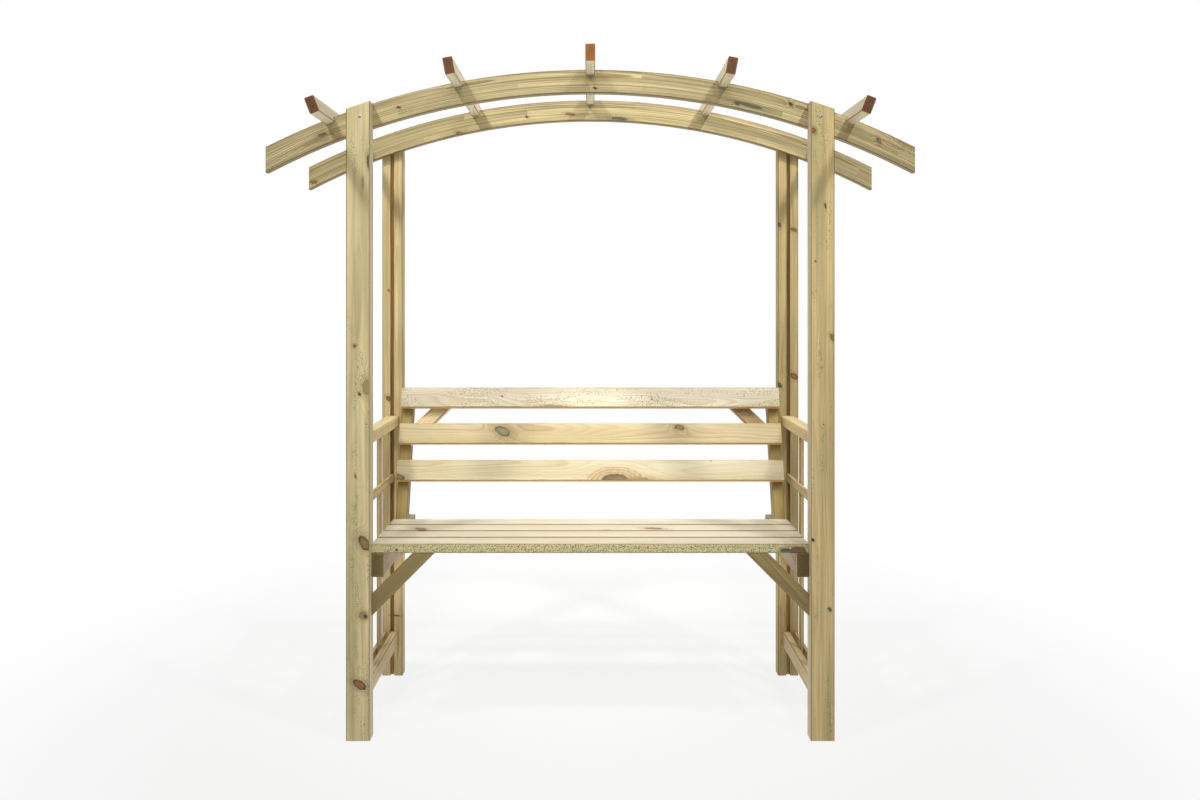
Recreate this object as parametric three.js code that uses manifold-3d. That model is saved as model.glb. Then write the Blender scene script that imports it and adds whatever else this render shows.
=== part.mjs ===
/*
 * Arbour seat: two frames of posts and a glued arch, joined by side rails, with a
 * slatted bench, a reclined slatted back and purlins laid across the two arches.
 * Millimetres, +Z up, the ground at Z = 0. The sitter looks along -Y, and left and
 * right are as someone facing the seat sees them.
 */
import * as THREE from 'three';
import { mergeVertices } from 'three/addons/utils/BufferGeometryUtils.js';
import Module from 'manifold-3d';

const wasm = await Module();
wasm.setup();

// Post frames
const CLEAR_WIDTH = 1288; // between the left and the right posts
const FRAME_DEPTH = 516; // front of the front posts to back of the rear posts
const POST_WIDTH = 70;
const POST_THICKNESS = 45;
const GROOVE_WIDTH = 13.4; // groove down the middle of each post's inward face
const GROOVE_DEPTH = 12;

// Roof
const ARCH_CROWN = 1969; // top of the arches above the ground
const ARCH_RADIUS = 2134; // outer face
const ARCH_SPAN = 1920;
const ARCH_HEIGHT = 68; // along the radius
const ARCH_THICKNESS = 28;
const ARCH_HOUSING = 12; // depth let into the posts
const PURLIN_WIDTH = 28;
const PURLIN_HEIGHT = 48;
const PURLIN_OVERHANG = 155; // past each arch
const PURLIN_LET_IN = 14; // depth of its notch in the arch
const PURLIN_END_MARGIN = 183; // arch end to the middle of the outermost purlin

// Seat
const SEAT_HEIGHT = 571; // top of the slats
const SEAT_SET_BACK = 20; // front slat behind the front of the posts
const SEAT_SLAT_WIDTH = 70;
const SEAT_SLAT_THICKNESS = 28;
const SEAT_SLAT_SPACE = 9.3; // open gap between slats
const SEAT_REAR_SPACE = 12; // least gap between the last slat and the back stiles
const BEARER_WIDTH = 36;
const BEARER_HEIGHT = 70;
const SLAT_END_PLAY = 0.5; // between a slat's end and the post beside it

// Back
const BACK_RECLINE = THREE.MathUtils.degToRad(17);
const BACK_HEIGHT = 419; // top edge above the seat
const BACK_TOP_REVEAL = 11; // top edge in front of the rear posts
const BACK_SLAT_WIDTH = 70;
const BACK_SLAT_THICKNESS = 28;
const BACK_SLAT_PITCH = 123;
const STILE_WIDTH = 36;
const STILE_DEPTH = 45;
const STILE_TOP_DROP = 8; // stile and brace tops below the top slat's top edge

// Braces, one design under the seat and behind the back
const BRACE_WIDTH = 45;
const BRACE_THICKNESS = 28;
const BRACE_CLEARANCE = 16; // upper edge below the bearer's corner

// Sides
const ARMREST_RISE = 319; // top above the seat
const ARMREST_WIDTH = 45;
const ARMREST_HEIGHT = 36;
const ARMREST_ROUNDING = 6;
const MIDDLE_RAIL_RISE = 120; // top above the seat
const MIDDLE_RAIL_HEIGHT = 25;
const BOTTOM_RAIL_TOP = 149; // above the ground
const BOTTOM_RAIL_HEIGHT = 50;
const BOTTOM_RAIL_THICKNESS = 24;
const SIDE_SLAT_WIDTH = 22;
const FOOT_BATTEN_HEIGHT = 25;

// Screws
const ROUND_HEAD_DIAMETER = 9;
const ROUND_HEAD_RISE = 2.4;
const FLAT_HEAD_DIAMETER = 9;
const SHANK_DIAMETER = 4.6;
const ARCH_SCREW_LENGTH = 55;
const ARCH_SCREW_OFFSET = 5; // towards the seat from the middle of the post
const PURLIN_SCREW_LENGTH = 75;
const BEARER_SCREW_LENGTH = 60;
const STILE_SCREW_LENGTH = 60;
const STILE_SCREW_DROP = 60; // below the back's top edge

// Clearances
const FIT_GAP = 0.3; // between a piece and the pocket or slanted face that takes it
const CUT_OVERRUN = 6; // how far a cutting shape runs past the face that it opens

// Counts and sides
const PURLIN_COUNT = 5;
const BACK_SLAT_COUNT = 3;
const SIDE_SLAT_COUNT = 2;
const ARCH_STEPS = 24;
const ROUNDING_STEPS = 2;
const SCREW_SIDES = 10;
const SIDES = { left: -1, right: 1 };
const ENDS = { front: -1, rear: 1 };

// Places that follow from the sizes above
const POST_INNER = CLEAR_WIDTH / 2;
const POST_OUTER = POST_INNER + POST_WIDTH;
const POST_MIDDLE = POST_INNER + POST_WIDTH / 2;
const FRAME_FACE = FRAME_DEPTH / 2; // outward face of the posts, front or rear
const POST_FACE = FRAME_FACE - POST_THICKNESS; // inward face of the posts
const TONGUE_THICKNESS = GROOVE_WIDTH - 2 * FIT_GAP;
const TONGUE_END = POST_FACE + GROOVE_DEPTH - FIT_GAP;
const ARCH_MIDDLE_Z = ARCH_CROWN - ARCH_RADIUS;
const ARCH_INNER_RADIUS = ARCH_RADIUS - ARCH_HEIGHT;
const ARCH_OUTWARD_FACE = POST_FACE + ARCH_HOUSING - FIT_GAP;
const ARCH_INWARD_FACE = ARCH_OUTWARD_FACE - ARCH_THICKNESS;
const PURLIN_BOTTOM_RADIUS = ARCH_RADIUS - PURLIN_LET_IN;
const PURLIN_TOP_RADIUS = PURLIN_BOTTOM_RADIUS + PURLIN_HEIGHT;
const PURLIN_END = ARCH_OUTWARD_FACE + PURLIN_OVERHANG;
const SEAT_FRONT = -FRAME_FACE + SEAT_SET_BACK;
const SEAT_UNDERSIDE = SEAT_HEIGHT - SEAT_SLAT_THICKNESS;
const SLAT_END = POST_INNER - SLAT_END_PLAY;
const BEARER_INNER = POST_INNER - BEARER_WIDTH;
const BEARER_BOTTOM = SEAT_UNDERSIDE - BEARER_HEIGHT;
const BACK_TOP_Y = POST_FACE - BACK_TOP_REVEAL;
const BACK_TOP_Z = SEAT_HEIGHT + BACK_HEIGHT;
const STILE_INNER = POST_INNER - STILE_WIDTH;
const STILE_FRONT = BACK_SLAT_THICKNESS + FIT_GAP; // behind the front face of the back
const BRACE_SHORT_LEG = BEARER_WIDTH + BEARER_HEIGHT + BRACE_CLEARANCE;
const BRACE_LONG_LEG = BRACE_SHORT_LEG + BRACE_WIDTH * Math.SQRT2;
const RAIL_OUTER = POST_MIDDLE + TONGUE_THICKNESS / 2; // the side slats lie against this face
const SIDE_SLAT_OUTER = RAIL_OUTER + TONGUE_THICKNESS;
const FOOT_BATTEN_OUTER = SIDE_SLAT_OUTER + TONGUE_THICKNESS;
const ARMREST_TOP = SEAT_HEIGHT + ARMREST_RISE;
const ARMREST_BOTTOM = ARMREST_TOP - ARMREST_HEIGHT;
const MIDDLE_RAIL_TOP = SEAT_HEIGHT + MIDDLE_RAIL_RISE;
const BOTTOM_RAIL_BOTTOM = BOTTOM_RAIL_TOP - BOTTOM_RAIL_HEIGHT;

// The leaned frame of the back: X across, Y away from the sitter and Z up the slats,
// from the front of the top slat's top edge
const BACK_FRAME = new THREE.Matrix4()
  .makeRotationX(-BACK_RECLINE)
  .setPosition(0, BACK_TOP_Y, BACK_TOP_Z);

// Finishes
const POST_COLOUR = '#b8a97c';
const ARCH_COLOUR = '#bba874';
const PURLIN_COLOUR = '#a98f62';
const SEAT_COLOUR = '#d9cda6';
const BACK_COLOUR = '#d8c48d';
const RAIL_COLOUR = '#bda673';
const WOOD_ROUGHNESS = 0.8;
const STEEL = { color: '#8d949c', roughness: 0.35, metalness: 0.9 };

// Height above the ground, at x, of a circle about the arches' middle
function heightOnCircle(radius, x) {
  return ARCH_MIDDLE_Z + Math.sqrt(radius * radius - x * x);
}

// A box between two corners, with its faces exactly on them
function block(xs, ys, zs) {
  const geometry = new THREE.BoxGeometry(1, 1, 1);
  const position = geometry.attributes.position;
  const pick = (at, ends) => (at < 0 ? Math.min(...ends) : Math.max(...ends));
  for (let i = 0; i < position.count; i += 1) {
    const x = pick(position.getX(i), xs);
    const y = pick(position.getY(i), ys);
    const z = pick(position.getZ(i), zs);
    position.setXYZ(i, x, y, z);
  }
  return geometry;
}

function outline(points) {
  return new THREE.Shape(points.map(([across, up]) => new THREE.Vector2(across, up)));
}

// An outline in X and Z, carried along Y between two places
function alongY(shape, ys, curveSegments) {
  const depth = Math.abs(ys[1] - ys[0]);
  const geometry = new THREE.ExtrudeGeometry(shape, { depth, bevelEnabled: false, curveSegments });
  return geometry.rotateX(Math.PI / 2).translate(0, Math.max(...ys), 0);
}

// An outline in Y and Z, carried along X between two places
function alongX(shape, xs) {
  const depth = Math.abs(xs[1] - xs[0]);
  const geometry = new THREE.ExtrudeGeometry(shape, { depth, bevelEnabled: false });
  return geometry.rotateX(Math.PI / 2).rotateZ(Math.PI / 2).translate(Math.min(...xs), 0, 0);
}

// A profile of radius and height, turned about Z's downward drive
function turned(profile) {
  const points = profile.map(([radius, height]) => new THREE.Vector2(radius, height));
  return new THREE.LatheGeometry(points, SCREW_SIDES).rotateX(Math.PI / 2);
}

function toSolid(geometry) {
  const bare = geometry.clone();
  bare.deleteAttribute('normal');
  bare.deleteAttribute('uv');
  const merged = mergeVertices(bare);
  const corners = merged.index.array;
  const triVerts = [];
  for (let i = 0; i < corners.length; i += 3) {
    const [a, b, c] = corners.slice(i, i + 3);
    if (a !== b && b !== c && c !== a) triVerts.push(a, b, c);
  }
  return new wasm.Manifold(new wasm.Mesh({
    numProp: 3,
    vertProperties: merged.attributes.position.array,
    triVerts: Uint32Array.from(triVerts),
  }));
}

function toGeometry(solid) {
  const mesh = solid.getMesh();
  const geometry = new THREE.BufferGeometry();
  geometry.setAttribute('position', new THREE.BufferAttribute(mesh.vertProperties, 3));
  geometry.setIndex(new THREE.BufferAttribute(mesh.triVerts, 1));
  geometry.computeVertexNormals();
  return geometry;
}

function cut(geometry, cutters) {
  let solid = toSolid(geometry);
  for (const cutter of cutters) solid = solid.subtract(toSolid(cutter));
  return toGeometry(solid);
}

function join(first, second) {
  return toGeometry(toSolid(first).add(toSolid(second)));
}

function moved(geometry, frame) {
  return geometry.clone().applyMatrix4(frame);
}

// Screws are drawn driven along -Z with the seat of the head at the origin

function screwHole(length, head) {
  const shank = SHANK_DIAMETER / 2 + FIT_GAP;
  const bottom = -length - FIT_GAP;
  const mouth = head / 2 + FIT_GAP;
  return turned([
    [0, bottom],
    [shank, bottom],
    [shank, shank - mouth],
    [mouth, 0],
    [mouth, CUT_OVERRUN],
    [0, CUT_OVERRUN],
  ]);
}

function flatHeadScrew(length) {
  const head = FLAT_HEAD_DIAMETER / 2;
  const shank = SHANK_DIAMETER / 2;
  return turned([[0, -length], [shank, shank - length], [shank, shank - head], [head, 0], [0, 0]]);
}

function roundHeadScrew(length) {
  const head = ROUND_HEAD_DIAMETER / 2;
  const shank = SHANK_DIAMETER / 2;
  const shoulder = ROUND_HEAD_RISE / 2;
  return turned([
    [0, -length],
    [shank, shank - length],
    [shank, FIT_GAP],
    [head, FIT_GAP],
    [head, shoulder],
    [head - shoulder, ROUND_HEAD_RISE],
    [0, ROUND_HEAD_RISE],
  ]);
}

// Where a screw's head sits and which way it is driven
function screwFrame(head, drive) {
  const from = new THREE.Vector3(0, 0, -1);
  const turn = new THREE.Quaternion().setFromUnitVectors(from, new THREE.Vector3(...drive));
  return new THREE.Matrix4().makeRotationFromQuaternion(turn).setPosition(...head);
}

// One set of like screws: the drawn screw, the hole it needs and where each one goes
function screwSet(name, shape, hole, frames) {
  return { name, shape, holes: frames.map((frame) => moved(hole, frame)), frames };
}

function overSides(makeOne) {
  return Object.entries(SIDES).map(([name, side]) => makeOne(side, name));
}

function overFeet(makeOne) {
  return Object.entries(ENDS).flatMap(([endName, end]) => (
    overSides((side, sideName) => makeOne(side, end, `${endName}_post_${sideName}`))
  ));
}

// Turns about the arches' middle to where each purlin lies
function purlinFrames() {
  const middleRadius = (PURLIN_BOTTOM_RADIUS + PURLIN_TOP_RADIUS) / 2;
  const outermost = Math.asin((ARCH_SPAN / 2 - PURLIN_END_MARGIN) / middleRadius);
  const pitch = (2 * outermost) / (PURLIN_COUNT - 1);
  return Array.from({ length: PURLIN_COUNT }, (_, index) => (
    new THREE.Matrix4().makeRotationY(index * pitch - outermost).setPosition(0, 0, ARCH_MIDDLE_Z)
  ));
}

// A purlin in its own frame, or with a gap and a longer end the notch that takes it
function purlinBlock(gap, end) {
  const half = PURLIN_WIDTH / 2 + gap;
  return block([-half, half], [-end, end], [PURLIN_BOTTOM_RADIUS - gap, PURLIN_TOP_RADIUS + gap]);
}

function purlinScrewFrames() {
  const y = (ARCH_OUTWARD_FACE + ARCH_INWARD_FACE) / 2;
  return Object.values(ENDS).map((end) => screwFrame([0, end * y, PURLIN_TOP_RADIUS], [0, 0, -1]));
}

function archScrewFrame(side, end) {
  const x = side * (POST_MIDDLE - ARCH_SCREW_OFFSET);
  const z = heightOnCircle((ARCH_RADIUS + ARCH_INNER_RADIUS) / 2, x);
  return screwFrame([x, end * FRAME_FACE, z], [0, -end, 0]);
}

// Through the middle of what the bearer and the post share
function bearerScrewFrame(side, end) {
  const outward = end === ENDS.front ? SEAT_FRONT : FRAME_FACE;
  const y = (outward + end * POST_FACE) / 2;
  return screwFrame([side * BEARER_INNER, y, (BEARER_BOTTOM + SEAT_UNDERSIDE) / 2], [side, 0, 0]);
}

function stileScrewFrame(side) {
  return screwFrame([side * STILE_INNER, STILE_FRONT + STILE_DEPTH / 2, -STILE_SCREW_DROP], [side, 0, 0]);
}

const PURLIN_FRAMES = purlinFrames();
const PURLIN_NOTCH = purlinBlock(FIT_GAP, PURLIN_END + CUT_OVERRUN);
const PURLIN_NOTCHES = PURLIN_FRAMES.map((frame) => moved(PURLIN_NOTCH, frame));
const PURLIN_SCREW_HOLE = screwHole(PURLIN_SCREW_LENGTH, FLAT_HEAD_DIAMETER);

const ARCH_SCREWS = screwSet(
  'arch_screw',
  roundHeadScrew(ARCH_SCREW_LENGTH),
  screwHole(ARCH_SCREW_LENGTH, SHANK_DIAMETER),
  overFeet(archScrewFrame),
);
const PURLIN_SCREWS = screwSet(
  'purlin_screw',
  flatHeadScrew(PURLIN_SCREW_LENGTH),
  PURLIN_SCREW_HOLE,
  PURLIN_FRAMES.flatMap((frame) => purlinScrewFrames().map((own) => frame.clone().multiply(own))),
);
const BEARER_SCREWS = screwSet(
  'bearer_screw',
  flatHeadScrew(BEARER_SCREW_LENGTH),
  screwHole(BEARER_SCREW_LENGTH, FLAT_HEAD_DIAMETER),
  overFeet(bearerScrewFrame),
);
// These lie in the leaned frame of the back
const STILE_SCREWS = screwSet(
  'stile_screw',
  flatHeadScrew(STILE_SCREW_LENGTH),
  screwHole(STILE_SCREW_LENGTH, FLAT_HEAD_DIAMETER),
  overSides(stileScrewFrame),
);

function meshOf(name, geometry, finish) {
  const mesh = new THREE.Mesh(geometry, new THREE.MeshStandardMaterial(finish));
  mesh.name = name;
  return mesh;
}

function wood(name, color, geometry) {
  return meshOf(name, geometry, { color, roughness: WOOD_ROUGHNESS });
}

function inFrame(frame, object) {
  object.applyMatrix4(frame);
  return object;
}

function group(objects) {
  return new THREE.Group().add(...objects);
}

function screws({ name, shape, frames }) {
  return frames.map((frame, index) => (
    inFrame(frame, meshOf(`${name}_${index + 1}`, shape, STEEL))
  ));
}

// The band between two radii, cut upright at the span's ends
function archBand(innerRadius, outerRadius) {
  const up = Math.PI / 2;
  const outerTurn = Math.asin(ARCH_SPAN / 2 / outerRadius);
  const innerTurn = Math.asin(ARCH_SPAN / 2 / innerRadius);
  const band = new THREE.Shape();
  band.absarc(0, ARCH_MIDDLE_Z, outerRadius, up + outerTurn, up - outerTurn, true);
  band.absarc(0, ARCH_MIDDLE_Z, innerRadius, up - innerTurn, up + innerTurn, false);
  return band;
}

function arch(name, end) {
  const ys = [end * ARCH_INWARD_FACE, end * ARCH_OUTWARD_FACE];
  const band = alongY(archBand(ARCH_INNER_RADIUS, ARCH_RADIUS), ys, ARCH_STEPS);
  const drilled = [...PURLIN_NOTCHES, ...ARCH_SCREWS.holes, ...PURLIN_SCREWS.holes];
  return wood(`${name}_arch`, ARCH_COLOUR, cut(band, drilled));
}

// The post's top follows the arch, which lies in a housing open to the inward face
function post(side, end, name) {
  const shape = outline([
    [side * POST_INNER, 0],
    [side * POST_OUTER, 0],
    [side * POST_OUTER, heightOnCircle(ARCH_RADIUS, POST_OUTER)],
    [side * POST_INNER, heightOnCircle(ARCH_RADIUS, POST_INNER)],
  ]);
  const body = alongY(shape, [end * POST_FACE, end * FRAME_FACE]);
  const open = end * (POST_FACE - CUT_OVERRUN);
  const grooveXs = [POST_MIDDLE - GROOVE_WIDTH / 2, POST_MIDDLE + GROOVE_WIDTH / 2].map((x) => side * x);
  const groove = block(grooveXs, [open, end * (POST_FACE + GROOVE_DEPTH)], [-CUT_OVERRUN, ARCH_CROWN]);
  const bed = archBand(ARCH_INNER_RADIUS - FIT_GAP, ARCH_RADIUS + PURLIN_HEIGHT);
  const housing = alongY(bed, [open, end * (POST_FACE + ARCH_HOUSING)], ARCH_STEPS);
  const stileHoles = STILE_SCREWS.holes.map((hole) => moved(hole, BACK_FRAME));
  const drilled = [...ARCH_SCREWS.holes, ...BEARER_SCREWS.holes, ...stileHoles];
  return wood(name, POST_COLOUR, cut(body, [groove, housing, ...PURLIN_NOTCHES, ...drilled]));
}

function roof() {
  const arches = Object.entries(ENDS).map(([name, end]) => arch(name, end));
  const holes = purlinScrewFrames().map((own) => moved(PURLIN_SCREW_HOLE, own));
  const drilled = cut(purlinBlock(0, PURLIN_END), holes);
  const purlins = PURLIN_FRAMES.map((frame, index) => (
    inFrame(frame, wood(`purlin_${index + 1}`, PURLIN_COLOUR, drilled))
  ));
  return group([...arches, ...purlins, ...screws(ARCH_SCREWS), ...screws(PURLIN_SCREWS)]);
}

// Height, in the leaned frame, at which a line down the stile meets the bearer
function footAt(depth) {
  const rise = SEAT_UNDERSIDE + FIT_GAP - BACK_TOP_Z;
  return (rise + depth * Math.sin(BACK_RECLINE)) / Math.cos(BACK_RECLINE);
}

// As many slats as fit between the seat's front and the feet of the back stiles
function seatSlats() {
  const stileFoot = new THREE.Vector3(0, STILE_FRONT, footAt(STILE_FRONT)).applyMatrix4(BACK_FRAME);
  const pitch = SEAT_SLAT_WIDTH + SEAT_SLAT_SPACE;
  const depth = stileFoot.y - SEAT_REAR_SPACE - SEAT_FRONT;
  return Array.from({ length: Math.floor((depth + SEAT_SLAT_SPACE) / pitch) }, (_, index) => {
    const front = SEAT_FRONT + index * pitch;
    const ys = [front, front + SEAT_SLAT_WIDTH];
    const slat = block([-SLAT_END, SLAT_END], ys, [SEAT_UNDERSIDE, SEAT_HEIGHT]);
    return wood(`seat_slat_${index + 1}`, SEAT_COLOUR, slat);
  });
}

function bearer(side, name) {
  const xs = [side * BEARER_INNER, side * POST_INNER];
  const beam = block(xs, [SEAT_FRONT, FRAME_FACE], [BEARER_BOTTOM, SEAT_UNDERSIDE]);
  return wood(`seat_bearer_${name}`, RAIL_COLOUR, cut(beam, BEARER_SCREWS.holes));
}

// A 45 degree brace, drawn with the corner that it braces at the origin
function brace(side, name) {
  const shape = outline([
    [-side * BRACE_SHORT_LEG, 0],
    [-side * BRACE_LONG_LEG, 0],
    [0, -BRACE_LONG_LEG],
    [0, -BRACE_SHORT_LEG],
  ]);
  return wood(name, RAIL_COLOUR, alongY(shape, [0, BRACE_THICKNESS]));
}

function seat() {
  const braces = overSides((side, name) => {
    const corner = new THREE.Matrix4().makeTranslation(side * POST_INNER, SEAT_FRONT, SEAT_UNDERSIDE);
    return inFrame(corner, brace(side, `seat_brace_${name}`));
  });
  return group([...seatSlats(), ...overSides(bearer), ...braces, ...screws(BEARER_SCREWS)]);
}

function backSlat(index) {
  const top = -index * BACK_SLAT_PITCH;
  const slat = block([-SLAT_END, SLAT_END], [0, BACK_SLAT_THICKNESS], [top - BACK_SLAT_WIDTH, top]);
  return wood(`back_slat_${index + 1}`, BACK_COLOUR, slat);
}

// Stands on the bearer, with its foot cut level
function stile(side, name) {
  const back = STILE_FRONT + STILE_DEPTH;
  const shape = outline([
    [STILE_FRONT, -STILE_TOP_DROP],
    [STILE_FRONT, footAt(STILE_FRONT)],
    [back, footAt(back)],
    [back, -STILE_TOP_DROP],
  ]);
  const beam = alongX(shape, [side * STILE_INNER, side * POST_INNER]);
  return wood(`back_stile_${name}`, RAIL_COLOUR, cut(beam, STILE_SCREWS.holes));
}

function back() {
  const slats = Array.from({ length: BACK_SLAT_COUNT }, (_, index) => backSlat(index));
  const braces = overSides((side, name) => {
    const corner = new THREE.Matrix4().makeTranslation(side * STILE_INNER, STILE_FRONT, -STILE_TOP_DROP);
    return inFrame(corner, brace(side, `back_brace_${name}`));
  });
  return inFrame(BACK_FRAME, group([...slats, ...overSides(stile), ...braces, ...screws(STILE_SCREWS)]));
}

// A rail as thick as the grooves take, from one post's groove to the other's
function tongue(side, zs) {
  const xs = [POST_MIDDLE - TONGUE_THICKNESS / 2, RAIL_OUTER].map((x) => side * x);
  return block(xs, [-TONGUE_END, TONGUE_END], zs);
}

function armrest(side, name) {
  const left = side * POST_MIDDLE - ARMREST_WIDTH / 2 + ARMREST_ROUNDING;
  const right = side * POST_MIDDLE + ARMREST_WIDTH / 2 - ARMREST_ROUNDING;
  const low = ARMREST_BOTTOM + ARMREST_ROUNDING;
  const high = ARMREST_TOP - ARMREST_ROUNDING;
  const quarter = Math.PI / 2;
  const section = new THREE.Shape();
  section.absarc(left, low, ARMREST_ROUNDING, 2 * quarter, 3 * quarter);
  section.absarc(right, low, ARMREST_ROUNDING, 3 * quarter, 4 * quarter);
  section.absarc(right, high, ARMREST_ROUNDING, 0, quarter);
  section.absarc(left, high, ARMREST_ROUNDING, quarter, 2 * quarter);
  const body = alongY(section, [-POST_FACE, POST_FACE], ROUNDING_STEPS);
  return wood(`armrest_${name}`, RAIL_COLOUR, join(body, tongue(side, [ARMREST_BOTTOM, ARMREST_TOP])));
}

function middleRail(side, name) {
  const rail = tongue(side, [MIDDLE_RAIL_TOP - MIDDLE_RAIL_HEIGHT, MIDDLE_RAIL_TOP]);
  return wood(`middle_rail_${name}`, RAIL_COLOUR, rail);
}

function bottomRail(side, name) {
  const zs = [BOTTOM_RAIL_BOTTOM, BOTTOM_RAIL_TOP];
  const xs = [RAIL_OUTER - BOTTOM_RAIL_THICKNESS, RAIL_OUTER].map((x) => side * x);
  const body = block(xs, [-POST_FACE, POST_FACE], zs);
  return wood(`bottom_rail_${name}`, RAIL_COLOUR, join(body, tongue(side, zs)));
}

// Upright slats, spread evenly between the posts, from the bottom rail to the armrest
function sideSlats(side, name) {
  const space = (2 * POST_FACE - SIDE_SLAT_COUNT * SIDE_SLAT_WIDTH) / (SIDE_SLAT_COUNT + 1);
  return Array.from({ length: SIDE_SLAT_COUNT }, (_, index) => {
    const front = -POST_FACE + space + index * (SIDE_SLAT_WIDTH + space);
    const xs = [side * RAIL_OUTER, side * SIDE_SLAT_OUTER];
    const slat = block(xs, [front, front + SIDE_SLAT_WIDTH], [BOTTOM_RAIL_BOTTOM, ARMREST_BOTTOM]);
    return wood(`side_slat_${name}_${index + 1}`, RAIL_COLOUR, slat);
  });
}

// Clamps the feet of the side slats against the bottom rail
function footBatten(side, name) {
  const xs = [side * SIDE_SLAT_OUTER, side * FOOT_BATTEN_OUTER];
  const zs = [BOTTOM_RAIL_TOP - FOOT_BATTEN_HEIGHT, BOTTOM_RAIL_TOP];
  const batten = block(xs, [-POST_FACE, POST_FACE], zs);
  return wood(`foot_batten_${name}`, RAIL_COLOUR, batten);
}

function sideInfill(side, name) {
  const rails = [armrest, middleRail, bottomRail, footBatten].map((make) => make(side, name));
  return group([...rails, ...sideSlats(side, name)]);
}

export default group([...overFeet(post), roof(), seat(), back(), ...overSides(sideInfill)]);
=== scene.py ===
# %% [markdown]
# # A garden arbour seat in pine
#
# The real object is joinery: planed softwood boards, two bent and glued arches, and
# screws. The scene is built as a joiner would build it. Every board is a straight length
# with rounded long edges and sawn ends, and it lies exactly where its solid in the loaded
# frame lies. Most of the look then comes from the wood, so a few cells work out how pine
# is drawn, with growth rings that run right through a board, and the later cells only
# choose tones and knots.

# %% Load the solids
import math
import random

import bpy
import numpy as np
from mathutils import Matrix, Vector


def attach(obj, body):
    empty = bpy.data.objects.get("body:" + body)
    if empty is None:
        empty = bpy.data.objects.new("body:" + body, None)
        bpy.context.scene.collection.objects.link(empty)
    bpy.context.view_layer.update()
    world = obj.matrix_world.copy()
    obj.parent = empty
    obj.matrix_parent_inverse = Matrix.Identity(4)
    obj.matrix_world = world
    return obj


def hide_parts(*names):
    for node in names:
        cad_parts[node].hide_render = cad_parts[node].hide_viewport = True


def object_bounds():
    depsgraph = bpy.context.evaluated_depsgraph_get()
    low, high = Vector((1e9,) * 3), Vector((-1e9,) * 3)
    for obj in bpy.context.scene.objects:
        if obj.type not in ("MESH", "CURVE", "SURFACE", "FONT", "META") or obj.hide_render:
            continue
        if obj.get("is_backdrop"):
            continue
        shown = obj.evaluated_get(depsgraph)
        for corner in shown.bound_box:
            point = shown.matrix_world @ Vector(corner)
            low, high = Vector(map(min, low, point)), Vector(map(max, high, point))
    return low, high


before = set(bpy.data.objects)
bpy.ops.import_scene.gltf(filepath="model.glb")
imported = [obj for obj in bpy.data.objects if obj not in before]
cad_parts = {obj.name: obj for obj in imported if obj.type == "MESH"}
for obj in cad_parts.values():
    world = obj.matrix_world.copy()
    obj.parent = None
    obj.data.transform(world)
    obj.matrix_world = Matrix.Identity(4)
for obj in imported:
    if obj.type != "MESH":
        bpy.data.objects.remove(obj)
cad_low, cad_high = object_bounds()
scene = bpy.context.scene
ROOT = "root"
X, Y, Z = Vector((1, 0, 0)), Vector((0, 1, 0)), Vector((0, 0, 1))
SIDES = {"left": -1, "right": 1}
ENDS = {"front": -1, "rear": 1}
print("solids:", len(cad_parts), "reach:", [round(c, 3) for c in cad_high - cad_low])

# %% [markdown]
# ## The camera
#
# The photograph was taken with the camera held level, a little over chest height, and the
# picture was framed by moving it over the lens: upright posts stay upright. A level
# camera with a small lens shift gives the same picture. The focal length and the eye's
# place come from how much smaller the rear posts look than the front ones.

# %% Camera
PHOTO_WIDTH, PHOTO_HEIGHT = 1200, 800
FOCAL_PIXELS = 924.7
OPTICAL_CENTRE = (590.3, 300.0)
SENSOR_WIDTH = 36
EYE = (0.0, -2.958, 1.288)


def link(name, data):
    """Puts a camera, a lamp or a mesh into the scene as an object."""
    thing = bpy.data.objects.new(name, data)
    scene.collection.objects.link(thing)
    return thing


camera_data = bpy.data.cameras.new("camera")
camera_data.sensor_width = SENSOR_WIDTH
camera_data.lens = FOCAL_PIXELS * SENSOR_WIDTH / PHOTO_WIDTH
camera_data.shift_x = (PHOTO_WIDTH / 2 - OPTICAL_CENTRE[0]) / PHOTO_WIDTH
camera_data.shift_y = (OPTICAL_CENTRE[1] - PHOTO_HEIGHT / 2) / PHOTO_WIDTH
camera = link("camera", camera_data)
camera.location = EYE
camera.rotation_euler = (math.pi / 2, 0, 0)
scene.camera = camera
scene.view_settings.view_transform = "Standard"
print("lens:", round(camera_data.lens, 2), "mm")

# %% [markdown]
# ## Writing node trees in few lines
#
# Materials, the world and the screws are all node trees. A small writer keeps them
# readable. Each call adds one node, feeds its inputs in their order or by their names,
# and hands back an output that the next call can be fed with.

# %% A node writer
MIX_FIRST, MIX_SECOND, MIX_RESULT = 6, 7, 2  # the colour sockets of a Mix node


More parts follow.
